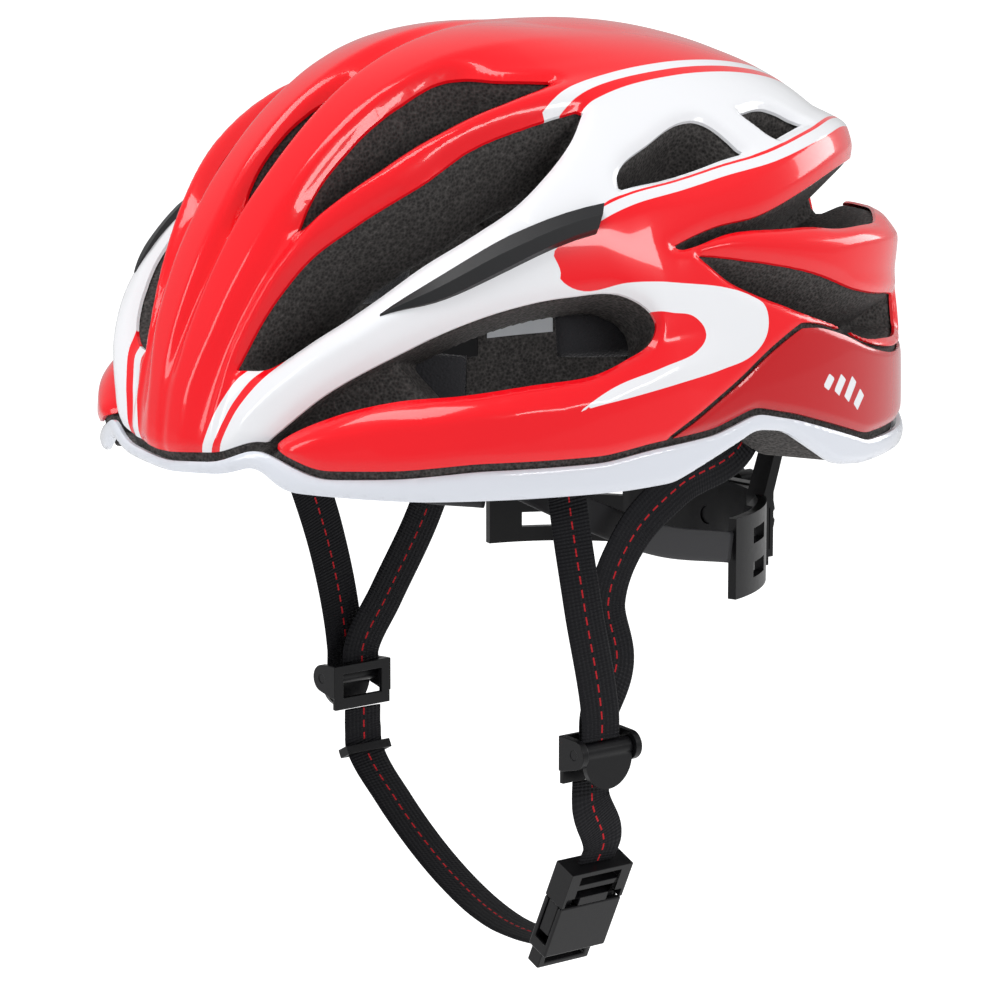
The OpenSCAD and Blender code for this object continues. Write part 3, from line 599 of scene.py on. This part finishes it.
def largest(tris, count):
    """The triangles of the largest joined patch. Each vertex takes the lowest number that is
    found among its triangles, over and over, until a whole patch has one number."""
    label = np.arange(count)
    while True:
        lower = label.copy()
        np.minimum.at(lower, tris.reshape(-1), np.repeat(label[tris].min(1), 3))
        lower = lower[lower]
        if np.array_equal(lower, label):
            break
        label = lower
    patch = label[tris[:, 0]]
    names, sizes = np.unique(patch, return_counts=True)
    return tris[patch == names[sizes.argmax()]]


def sheet_cut(step, keep, low, high):
    """Chart places and triangles of a square grid, cut along the zero line of keep(places).
    Places close to that line are first pulled onto it, which leaves no thin triangles."""
    u, v = np.arange(low[0], high[0] + step / 2, step), np.arange(low[1], high[1] + step / 2, step)
    q = np.stack(np.meshgrid(u, v, indexing="ij"), -1).reshape(-1, 2)
    f = keep(q)
    slope = np.stack(np.gradient(f.reshape(len(u), len(v)), step), -1).reshape(-1, 2)
    steep = (slope ** 2).sum(1)
    pulled, least_slope = 0.33, 0.3
    close = (np.abs(f) < pulled * step) & (steep > least_slope)
    q[close] -= slope[close] * (f[close] / steep[close])[:, None]
    f[close] = 0
    number = np.arange(len(q)).reshape(len(u), len(v))
    # Each square is split along alternate diagonals
    a, b, c, d = number[:-1, :-1], number[1:, :-1], number[1:, 1:], number[:-1, 1:]
    even = (np.add(*np.indices(a.shape)) % 2 == 0)[..., None]
    first = np.where(even, columns(a, b, c), columns(a, b, d)).reshape(-1, 3)
    second = np.where(even, columns(a, c, d), columns(b, c, d)).reshape(-1, 3)
    tris = np.vstack([first, second])
    kept = f >= 0
    held = kept[tris].sum(1)

    def odd_first(t, odd):
        """Triangles turned so that their one odd corner comes first."""
        turn = odd.argmax(1)[:, None]
        return np.take_along_axis(t, (turn + np.arange(3)) % 3, 1)

    # A triangle with one corner kept leaves a triangle, and one with two leaves two triangles
    one = odd_first(tris[held == 1], kept[tris[held == 1]])
    two = odd_first(tris[held == 2], ~kept[tris[held == 2]])
    ends = np.vstack([one[:, [0, 1]], one[:, [0, 2]], two[:, [1, 0]], two[:, [2, 0]]])
    pairs, which = np.unique(ends, axis=0, return_inverse=True)
    which = which.reshape(-1)
    share = f[pairs[:, 0]] / np.maximum(f[pairs[:, 0]] - f[pairs[:, 1]], 1e-9)
    cuts = q[pairs[:, 0]] + (q[pairs[:, 1]] - q[pairs[:, 0]]) * share[:, None]
    name = np.where(f[pairs[:, 0]] == 0, pairs[:, 0], len(q) + np.arange(len(pairs)))[which]
    n, m = len(one), len(two)
    made = np.vstack([tris[held == 3], columns(one[:, 0], name[:n], name[n:2 * n]),
                      columns(two[:, 1], two[:, 2], name[2 * n + m:]),
                      columns(two[:, 1], name[2 * n + m:], name[2 * n:2 * n + m])])
    made = made[np.all(made != np.roll(made, 1, 1), 1)]
    everywhere = np.vstack([q, cuts])
    used, made = np.unique(largest(made, len(everywhere)), return_inverse=True)
    return everywhere[used], made.reshape(-1, 3)


def skin(name, q, tris, thick, mat, surface=on_shell, marks=()):
    """A closed thin shell over cut chart places: its outer face lies on the surface, its inner
    face is the same places thick further in, and a strip joins them along every open edge.
    Normals come from the surface itself. marks names the distances that the paint reads."""
    n, near = len(q), 0.2
    across = surface(q + (near, 0)) - surface(q - (near, 0))
    along = surface(q + (0, near)) - surface(q - (0, near))
    normal = unit(np.cross(across, along))
    sides = np.vstack([tris[:, [0, 1]], tris[:, [1, 2]], tris[:, [2, 0]]])
    key, back_key = sides[:, 0] * n + sides[:, 1], sides[:, 1] * n + sides[:, 0]
    a, b = sides[~np.isin(key, back_key)].T
    strip = np.vstack([columns(b, a, a + n), columns(b, a + n, b + n)])
    places = np.vstack([surface(q), surface(q, thick)])
    faces = np.vstack([tris, tris[:, ::-1] + n, strip])
    mesh = mesh_of(name, places, faces, mat)
    first, second, third = (places[strip[:, k]] for k in range(3))
    flat = unit(np.cross(second - first, third - first))
    normals = np.vstack([normal[tris.reshape(-1)], -normal[tris[:, ::-1].reshape(-1)],
                         np.repeat(flat, 3, 0)])
    mesh.normals_split_custom_set(normals.tolist())
    for mark, value in marks:
        attribute = mesh.attributes.new(mark, "FLOAT", "POINT")
        attribute.data.foreach_set("value", np.tile(value, 2).astype(np.float32))
    return linked(name, mesh)


def keep_upper(q):
    """Inside the upper shell: above the foam line, outside every vent and off the rear panel."""
    return np.min([below(q, BELT), -vent_depth(q), -inside(q, PANEL) - GROOVE], 0)


# White paint: the rib from the brow to the tail, and the hook round the side vent
RIB = curve([
    (13.2, -88), (17, -78.2), (21.5, -70.6), (26, -63.4), (33, -50), (34.5, -30), (31, -14),
    (28.3, -8.7), (26.6, 0), (25, 10), (23, 20), (20, 30), (16, 38), (8, 45), (-8, 46), (-8, 52),
    (6, 51.5), (18.6, 45.2), (25.8, 38), (32.4, 30.2), (38.6, 19.1), (41.3, 8), (43, -2),
    (43.6, -15.3), (45, -22), (46.4, -28.7), (49.5, -29), (52, -38), (44, -54), (34, -68),
    (26, -78), (18, -88)], (0, 4, 7, 23, 25, 31))
HOOK = curve([
    (46.4, -28.7), (49.6, -29.4), (52.4, -27), (55.2, -17.6), (58, -6.4), (59.7, 4.7),
    (60.8, 11.3), (62.2, 14.3), (65.8, 14.9), (69.7, 11.3), (72.4, 1.3), (73, -12), (71.6, -24.5),
    (68.2, -37.5), (68.6, -28), (69.6, -15.3), (68.3, -4.2), (66.3, -2.2), (63.6, -4.2),
    (61.9, -9.8), (59, -18), (50, -40), (44, -50)], (0, 13, 20, 22))
# Lines that the fine stripes follow
BROW_LINE = curve([(13.2, -88), (17, -78.2), (21.5, -70.6), (26, -63.4), (29.5, -58)], (), False)
CROWN_LINE = curve([
    (30, -15), (28.3, -8.7), (26.6, 0), (25, 10), (23, 20), (20, 30), (16, 38), (8, 45), (0, 46),
    (-8, 46)], (), False)
FIN_LINE = curve([
    (44, -20), (43.6, -15.3), (43, -2), (41.3, 8), (38.6, 19.1), (32.4, 30.2), (25.8, 38),
    (18.6, 45.2), (6, 51.5), (0, 52), (-8, 52)], (), False)


def stripes(q):
    """Degrees inside the fine white stripes. Each lies between two distances from its line."""
    found = []
    for line, low, high in ((CROWN_LINE, -3.1, -1.5), (BROW_LINE, -3.9, -1.7),
                            (FIN_LINE, 0.5, 2.1)):
        away = beside(q, line)
        found.append(np.minimum(away - low, high - away))
    return np.max(found, 0)


def sprayed(mat):
    """The faint waves of sprayed paint."""
    bump(mat, noise(mat, 260.0, 2.0), 0.00002, 0.25)


def painted(name, marks, under, over):
    """Glossy paint of two colours: over where any mark is above zero, and under elsewhere. The
    change takes soft degrees to each side."""
    made = finish(name, under, 0.2, Coat_Weight=0.6, Coat_Roughness=0.04, Specular_IOR_Level=0.2)
    share, soft = 0.0, 0.04
    for mark in marks:
        value = add(made, "Attribute", attribute_name=mark).outputs["Fac"]
        edge = add(made, "MapRange", [
            ("Value", value), ("From Min", -soft), ("From Max", soft)]).outputs[0]
        share = math(made, "MAXIMUM", edge, share)
    feed(made, "Base Color", mixed(made, share, under, over))
    sprayed(made)
    return made


RED, WHITE = (0.93, 0.004, 0.012), (0.88, 0.89, 0.92)
shell_paint = painted("shell_paint", ("white", "stripes"), RED, WHITE)
SHELL_STEP = 0.6
shell_q, shell_tris = sheet_cut(SHELL_STEP, keep_upper, (-93, -93), (93, 93))
upper_shell = skin("upper_shell_skin", shell_q, shell_tris, 0.001, shell_paint,
                   marks=[("white", np.maximum(inside(shell_q, RIB), inside(shell_q, HOOK))),
                          ("stripes", stripes(shell_q))])
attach(upper_shell, "helmet")
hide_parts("upper_shell")

# ---- lower shell ----
# Glossy white skin round the rim, under the bare foam line.


# Metres that it lies inside the plain head shape, and the rolled edges at the rim and on top
LOWER_SUNK, RIM_ROLL, TOP_ROLL = 0.0004, (0.004, 0.0018), (0.0025, 0.001)


def keep_lower(q):
    """Inside the lower shell: under the bare foam line and above the rim."""
    return np.minimum(-below(q, BELT) - FOAM_LINE, below(q, RIM))


def on_lower(q, inward=0.0):
    """Places on the lower shell, which bulges between its two rolled edges."""
    d = towards(q)
    to_rim, to_top = below(q, RIM), -below(q, BELT) - FOAM_LINE
    drop = rolled(to_rim * DEGREE, *RIM_ROLL) + rolled(to_top * DEGREE, *TOP_ROLL)
    return d * (reach(d, *SHELL) - LOWER_SUNK - drop - inward)[:, None]


white_paint = finish("lower_paint", (0.76, 0.79, 0.86), 0.2, Coat_Weight=0.6, Coat_Roughness=0.08)
sprayed(white_paint)
lower_q, lower_tris = sheet_cut(SHELL_STEP, keep_lower, (-96, -96), (96, 96))
lower_shell = skin("lower_shell_skin", lower_q, lower_tris, 0.0012, white_paint, on_lower)
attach(lower_shell, "helmet")
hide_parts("lower_shell")

# ---- rear panels ----
# A darker red panel at each side of the tail, let in with a groove of bare foam round it.
# Four plain slanted bars are printed on it.

panel_paint = painted("panel_paint", ("bars",), (0.56, 0.003, 0.008), WHITE)
PANEL_STEP = 0.4


def keep_panel(q):
    """Inside the rear panel: within its outline and above the foam line."""
    return np.minimum(inside(q, PANEL), below(q, BELT))


def bars(q):
    """Degrees inside the nearest of four slanted bars. Their low ends lie on a line that
    rises to the rear, a pitch apart, and each has its own height."""
    pitch, rise, wide, slant = 4.2, 0.762, 2.2, 1.4
    found = []
    for k, tall in enumerate((2.6, 3.4, 4.2, 3.4)):
        low = np.array([70.96 - rise * k, 34.0 + pitch * k])
        bar = [low, low + (0, wide), low + (-tall, wide + slant), low + (-tall, slant)]
        found.append(inside(q, np.array(bar)))
    return np.max(found, 0)


SIDES = ((1, "left"), (-1, "right"))
for side, name in SIDES:
    span = ((29, -18), (96, 93)) if side > 0 else ((-96, -18), (-29, 93))
    panel_q, panel_tris = sheet_cut(PANEL_STEP, keep_panel, *span)
    panel = skin("rear_panel_skin_" + name, panel_q, panel_tris, 0.001, panel_paint,
                 marks=[("bars", bars(panel_q))])
    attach(panel, "helmet")
    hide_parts("rear_panel_" + name)

# ---- side inserts ----
# A matt black wedge on the white rib over each side vent: thin at the front, with a sharp
# ridge that climbs to a cut-off rear end.

matt_black = finish("matt_black", (0.01, 0.0105, 0.012), 0.42, Specular_IOR_Level=0.4)
feed(matt_black, "Roughness", varied(matt_black, 900.0, 0.36, 0.5))
bump(matt_black, noise(matt_black, 2200.0, 2.0), 0.00005, 0.5)


def lofted(name, rings, mat):
    """A closed solid from rings of places, an array (ring, corner, 3), with flat ends."""
    count, corners = rings.shape[:2]
    base = np.arange(count - 1)[:, None] * corners
    i, j = np.arange(corners), (np.arange(corners) + 1) % corners
    walls = columns(base + i, base + j, base + corners + j, base + corners + i).reshape(-1, 4)
    mesh = bpy.data.meshes.new(name)
    ends = [list(range(corners))[::-1], list(range((count - 1) * corners, count * corners))]
    mesh.from_pydata(rings.reshape(-1, 3).tolist(), [], walls.tolist() + ends)
    mesh.materials.append(mat)
    return linked(name, mesh)


def edge_softened(obj, width, angle=30):
    """Rounds an object's edges that are sharper than angle, and shades the rest of it smooth."""
    bevel = obj.modifiers.new("round", "BEVEL")
    bevel.width, bevel.segments = width, 2
    bevel.limit_method, bevel.angle_limit = "ANGLE", np.radians(angle)
    bevel.harden_normals = True
    obj.data.shade_smooth()
    obj.data.set_sharp_from_angle(angle=np.radians(angle))
    return obj


def insert_rings(side, steps=16):
    """Sections from the tip to the cut end: a five-sided profile between an inner and an outer
    edge that are smooth curves. Its ridge climbs as the way along to the power 0.9."""
    climb = 0.0052 * np.linspace(0, 1, steps) ** 0.9
    inner_edge = curve([(34.4, -55.6), (38.3, -45), (41, -33), (44.4, -17.2)], (), False, 20)
    outer_edge = curve([(34.7, -55.8), (40.2, -48.7), (43.7, -39.8), (47.3, -20.2)], (), False, 20)
    way = np.linspace(0, len(inner_edge) - 1, steps)
    pick = np.arange(len(inner_edge))
    a = np.stack([np.interp(way, pick, inner_edge[:, k]) for k in (0, 1)], -1)
    b = np.stack([np.interp(way, pick, outer_edge[:, k]) for k in (0, 1)], -1)
    # Each corner's share of the way across, its metres over the shell and its share of the climb
    profile = [(0, -0.003, 0), (1, -0.003, 0), (1, 0.0002, 0.62), (0.62, 0.0004, 1.0),
               (0.05, 0.0002, 0.72)]
    lines = []
    for across, over, high in profile:
        p = on_shell((a * (1 - across) + b * across) * (side, 1))
        lines.append(p * (1 + (over + climb * high) / np.linalg.norm(p, axis=1))[:, None])
    rings = np.stack(lines, 1)
    return rings if side < 0 else rings[:, ::-1]


for side, name in SIDES:
    insert = edge_softened(lofted("insert_wedge_" + name, insert_rings(side), matt_black), 0.0003)
    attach(insert, "helmet")
    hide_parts("side_insert_" + name)

# ---- comfort pads ----
# Soft foam covered in brushed knit, held to the liner by hook tape: one along the brow, two
# on the crown and one at each temple.

pad_cloth = finish("pad_cloth", (0.035, 0.035, 0.04), 0.9, Sheen_Weight=0.5, Sheen_Roughness=0.4)
knit = add(pad_cloth, "TexVoronoi", [("Vector", object_places(pad_cloth)), ("Scale", 1300.0)])
bump(pad_cloth, knit.outputs["Distance"], 0.0003, 0.8)


def facing_out(mesh):
    """Turns a closed mesh's faces over if they enclose less than nothing."""
    if sum(face.center.dot(face.normal) * face.area for face in mesh.polygons) < 0:
        mesh.flip_normals()


def pad(name, spread, mat):
    """A crowned closed pad on the head space's wall. spread gives chart places for shares along
    and across. With x and y from -1 to 1 along and across, the pad swells by the square root
    of (1 - x^8) (1 - y^4)."""
    long, wide = 41, 13
    # Metres off the wall of its back and face, and their shares of the swelling
    back_off, back_swell, face_off, face_swell = 0.0033, 0.0025, 0.0034, 0.0036
    a, b = np.meshgrid(np.linspace(0, 1, long), np.linspace(0, 1, wide), indexing="ij")
    d = towards(spread(a.reshape(-1), b.reshape(-1)))
    swell = ((1 - np.abs(2 * a - 1) ** 8) * (1 - np.abs(2 * b - 1) ** 4)).reshape(-1) ** 0.5
    wall = reach(d, *HEAD)
    back_face = d * (wall - back_off + back_swell * swell)[:, None]
    face = d * (wall - face_off - face_swell * swell)[:, None]
    number = np.arange(long * wide).reshape(long, wide)
    quads = columns(number[:-1, :-1], number[1:, :-1], number[1:, 1:], number[:-1, 1:])
    edge = np.concatenate([number[:, 0], number[-1, 1:], number[-2::-1, -1], number[0, -2:0:-1]])
    n, quads = long * wide, quads.reshape(-1, 4)
    strip = columns(edge, np.roll(edge, -1), np.roll(edge, -1) + n, edge + n)
    faces = np.vstack([quads, quads[:, ::-1] + n, strip[:, ::-1]])
    mesh = mesh_of(name, np.vstack([back_face, face]), faces, mat)
    facing_out(mesh)
    return linked(name, mesh)


def by_heading(h0, h1, t0, t1):
    """A pad from heading h0 to h1 along, and from t0 to t1 degrees from the crown across."""
    def spread(a, b):
        h, t = np.radians(h0 + (h1 - h0) * a), t0 + (t1 - t0) * b
        return columns(t * np.sin(h), -t * np.cos(h))
    return spread


def by_chart(u0, u1, v0, v1):
    """A pad from v0 to v1 degrees rearward along, and from u0 to u1 sideways across."""
    return lambda a, b: columns(u0 + (u1 - u0) * b, v0 + (v1 - v0) * a)


for node, spread in (("brow_pad", by_heading(-42, 42, 66, 78)),
                     ("crown_pad_left", by_chart(5.5, 10.5, -44, 36)),
                     ("crown_pad_right", by_chart(-10.5, -5.5, -44, 36)),
                     ("side_pad_left", by_heading(62, 104, 56, 65)),
                     ("side_pad_right", by_heading(-104, -62, 56, 65))):
    made = pad("soft_" + node, spread, pad_cloth)
    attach(made, "helmet")
    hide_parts(node)

# ---- webbing ----
# Ribbed black polyester webbing, 15 mm wide, with a red thread stitched along its middle.
# A front and a rear strap on each side meet at a divider, and the chin straps run on below.

WEB_WIDE, WEB_THICK = 0.015, 0.0014


def web_finish():
    """Black webbing, with sines for its ribs and cords, and a dashed red thread in its middle."""
    rib_pitch, cord_pitch = 0.0011, 0.0016
    thread_half, stitch_pitch, stitch_share = 0.0003, 0.0042, 0.6
    made = finish("webbing", (0.012, 0.012, 0.015), 0.7, Specular_IOR_Level=0.2)
    place = add(made, "UVMap", uv_map="along").outputs[0]
    split = add(made, "SeparateXYZ", [(0, place)])
    across, along = split.outputs[0], split.outputs[1]
    ribs = math(made, "SINE", math(made, "MULTIPLY", along, 2 * np.pi / rib_pitch))
    cords = math(made, "SINE", math(made, "MULTIPLY", across, 2 * np.pi / cord_pitch))
    weave = math(made, "ADD", math(made, "MULTIPLY", ribs, 0.35),
                 math(made, "MULTIPLY", cords, 0.2))
    thread = math(made, "LESS_THAN", math(made, "ABSOLUTE", across), thread_half)
    stitch = math(made, "FRACT", math(made, "MULTIPLY", along, 1 / stitch_pitch))
    red = math(made, "MULTIPLY", thread, math(made, "LESS_THAN", stitch, stitch_share))
    speck = math(made, "MULTIPLY", noise(made, 3000.0, 2.0), 0.9)
    cloth = mixed(made, speck, (0.002, 0.002, 0.003), (0.009, 0.009, 0.012))
    feed(made, "Base Color", mixed(made, red, cloth, (0.55, 0.012, 0.02)))
    bump(made, math(made, "ADD", weave, math(made, "MULTIPLY", red, 0.8)), 0.0003, 0.9)
    return made


webbing_cloth = web_finish()


def strip(name, route, wide, thick, across, mat):
    """A flat strap swept along a smooth route in mm, its width kept towards across, and its
    length in metres. At an angle t its section has half the width times cos t to the power
    0.35, and half the thickness times sin t to the power 0.8. Its UV map holds metres across
    and along."""
    corners, flat_power, round_power = 24, 0.35, 0.8
    path = curve(np.array(route) / 1000, (), False, 14)
    along = unit(np.gradient(path, axis=0))
    face = unit(np.cross(along, across))
    side = np.cross(face, along)
    angle = np.arange(corners) * 2 * np.pi / corners
    x = np.sign(np.cos(angle)) * np.abs(np.cos(angle)) ** flat_power * wide / 2
    y = np.sign(np.sin(angle)) * np.abs(np.sin(angle)) ** round_power * thick / 2
    rings = path[:, None] + side[:, None] * x[None, :, None] + face[:, None] * y[None, :, None]
    made = lofted(name, rings, mat)
    mesh = made.data
    mesh.shade_smooth()
    gone = np.concatenate([[0], np.cumsum(np.linalg.norm(np.diff(path, axis=0), axis=1))])
    uv = np.stack(np.broadcast_arrays(x[None, :], gone[:, None]), -1).reshape(-1, 2)
    corner = np.zeros(len(mesh.loops), int)
    mesh.loops.foreach_get("vertex_index", corner)
    layer = mesh.uv_layers.new(name="along")
    layer.data.foreach_set("uv", uv[corner].astype(np.float32).reshape(-1))
    facing_out(mesh)
    return made, float(gone[-1])


# In mm: the straps' roots in the liner, the dividers' centres, where straps meet a divider,
# and the buckle's mouth. LEAD is a strap's straight run at its ends.
mirror = np.array([-1, 1, 1])
STRAP_X, LEAD = 70, np.array([0, 0, 7])
front_root, rear_root = np.array([71.2, -36, 10]), np.array([72.1, 36, 10])
divider_left, divider_right = np.array([80, -28, -85]), np.array([-76, -4, -92])
over_roller, in_channel = np.array([0.5, -1.6, 3.4]), np.array([-4.2, 1.6, 2])
under_frame = np.array([-6.2, 0.5, -10.5])
mouth, lean = np.array([62, -19, -134]), np.radians(25)


def in_socket(x, y, z):
    """A place given from the buckle's mouth, with z up along the leaning strap."""
    return mouth + np.array([x * np.cos(lean) + z * np.sin(lean), y,
                             z * np.cos(lean) - x * np.sin(lean)])


def hung(root, places, end):
    """A route that leaves its root and reaches its end straight up and down."""
    return [root, root - LEAD, *places, end + LEAD, end]


STRAPS = {
    "front_strap_left": hung(
        front_root, [[STRAP_X, -34, -8], [STRAP_X + 6, -33, -40]], divider_left + over_roller),
    "rear_strap_left": hung(
        rear_root, [[STRAP_X + 1, 10, -9], [STRAP_X + 0.5, -8, -22], [STRAP_X, -18, -42],
                    [STRAP_X + 3, -17, -60]], divider_left + in_channel),
    "front_strap_right": hung(
        front_root * mirror, [[-STRAP_X, -30, -12], [-STRAP_X - 3.5, -15, -46]],
        divider_right + over_roller * mirror),
    "rear_strap_right": hung(
        rear_root * mirror, [[-STRAP_X - 0.5, 33, -18], [-STRAP_X - 1, 24, -40],
                             [-STRAP_X - 1.6, 8, -66]], divider_right + in_channel * mirror),
    "chin_strap_left": [
        divider_left + under_frame, divider_left + under_frame - LEAD, in_socket(0, 0, 18),
        in_socket(0, 0, 10.8)],
    "chin_strap_right": [
        divider_right + under_frame * mirror, divider_right + under_frame * mirror - LEAD,
        [-STRAP_X - 0.5, -2, -117], [-58, 0, -132], [-40, 0, -145], [-15, -4, -154],
        [12, -11, -157], [32, -16, -156], in_socket(-5.7, 0, -25)],
}
for node, route in STRAPS.items():
    made, length = strip("web_" + node, route, WEB_WIDE, WEB_THICK, (0, 1, 0), webbing_cloth)
    if node == "chin_strap_right":
        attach(made, "chin_loop")
    elif node == "chin_strap_left":
        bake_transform(made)
    else:
        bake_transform(made)
    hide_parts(node)

# ---- moulded plastic pieces ----
# Dividers, levers, buckle, cradle, dial and anchors: injection moulded in black nylon, with
# softly rounded edges and a fine grain. Each keeps its CAD shape.

nylon = finish("nylon", (0.006, 0.006, 0.007), 0.36, Specular_IOR_Level=0.25)
feed(nylon, "Roughness", varied(nylon, 500.0, 0.24, 0.4))
bump(nylon, noise(nylon, 2600.0, 2.0), 0.00004, 0.5)
steel = finish("screw_steel", (0.5, 0.5, 0.52), 0.3, Metallic=1.0)
bump(steel, noise(steel, 1500.0), 0.00002, 0.4)
label_film = finish("label_film", (0.62, 0.64, 0.67), 0.45)
feed(label_film, "Base Color", mixed(label_film, noise(label_film, 60.0),
                                     (0.55, 0.57, 0.6), (0.7, 0.72, 0.75)))
belt_nylon = finish("belt_nylon", (0.02, 0.02, 0.023), 0.5)
bump(belt_nylon, noise(belt_nylon, 1800.0), 0.00005, 0.5)


def moulded(node, body, width, mat, slot):
    """The CAD piece again, with its triangles merged into flat faces and its edges rounded."""
    same_place, same_plane, sharp = 0.00002, np.radians(1), 35
    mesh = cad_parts[node].data.copy()
    mesh.name = "moulded_" + node
    work = bmesh.new()
    work.from_mesh(mesh)
    bmesh.ops.remove_doubles(work, verts=work.verts, dist=same_place)
    bmesh.ops.dissolve_limit(work, angle_limit=same_plane, verts=work.verts, edges=work.edges)
    work.to_mesh(mesh)
    work.free()
    mesh.materials.clear()
    mesh.materials.append(mat)
    made = edge_softened(linked("moulded_" + node, mesh), width, sharp)
    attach(made, body)
    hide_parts(node)


black, belt_black = (nylon, "black_plastic"), (belt_nylon, "belt_plastic")
for nodes, body, width, look in (
        ("strap_anchors belt_anchors cradle_anchors", "helmet", 0.0004, black),
        ("cradle", "cradle", 0.0005, black),
        ("cradle_cover", "cradle", 0.0007, black),
        ("fit_dial", "dial", 0.0005, black),
        ("cover_screws", "cradle", 0.0002, (steel, "screw_steel")),
        ("belt_rack_left", "rack_left", 0.0001, belt_black),
        ("belt_rack_right", "rack_right", 0.0001, belt_black),
        ("divider_left divider_right", "chin_loop", 0.0004, black),
        ("divider_lever_left", "lever_left", 0.0004, black),
        ("divider_lever_right", "lever_right", 0.0004, black),
        ("strap_keeper", "chin_loop", 0.0003, (nylon, "elastic")),
        ("buckle_female", "chin_loop", 0.0006, black),
        ("buckle_male", "buckle_male", 0.0006, black),
        ("buckle_prong_front", "prong_front", 0.0005, black),
        ("buckle_prong_rear", "prong_rear", 0.0005, black),
        ("blank_label", "helmet", 0.00005, (label_film, "label_film"))):
    for node in nodes.split():
        moulded(node, body, width, *look)

# ---- side belts ----
# Flat toothed nylon belts from the temples to the cradle, which the dial draws in.

BELT_WIDE, BELT_THICK = 0.010, 0.0014
# In mm: the radius and centre of the cradle's arms, which end at that heading
arm_radius, arm_centre, arm_end = 62.5, np.array([0.2, 26.1, -34]), np.radians(15)
belt_start = arm_centre + arm_radius * np.array([np.cos(arm_end), np.sin(arm_end), 0])
for side, name in SIDES:
    route = np.array([belt_start, [61, 12, -28], [61, -18, -16], [61.4, -56, 2]]) * (side, 1, 1)
    belt, _ = strip("belt_" + name, route, BELT_WIDE, BELT_THICK, (0, 0, 1), belt_nylon)
    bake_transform(belt)
    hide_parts("side_belt_" + name)
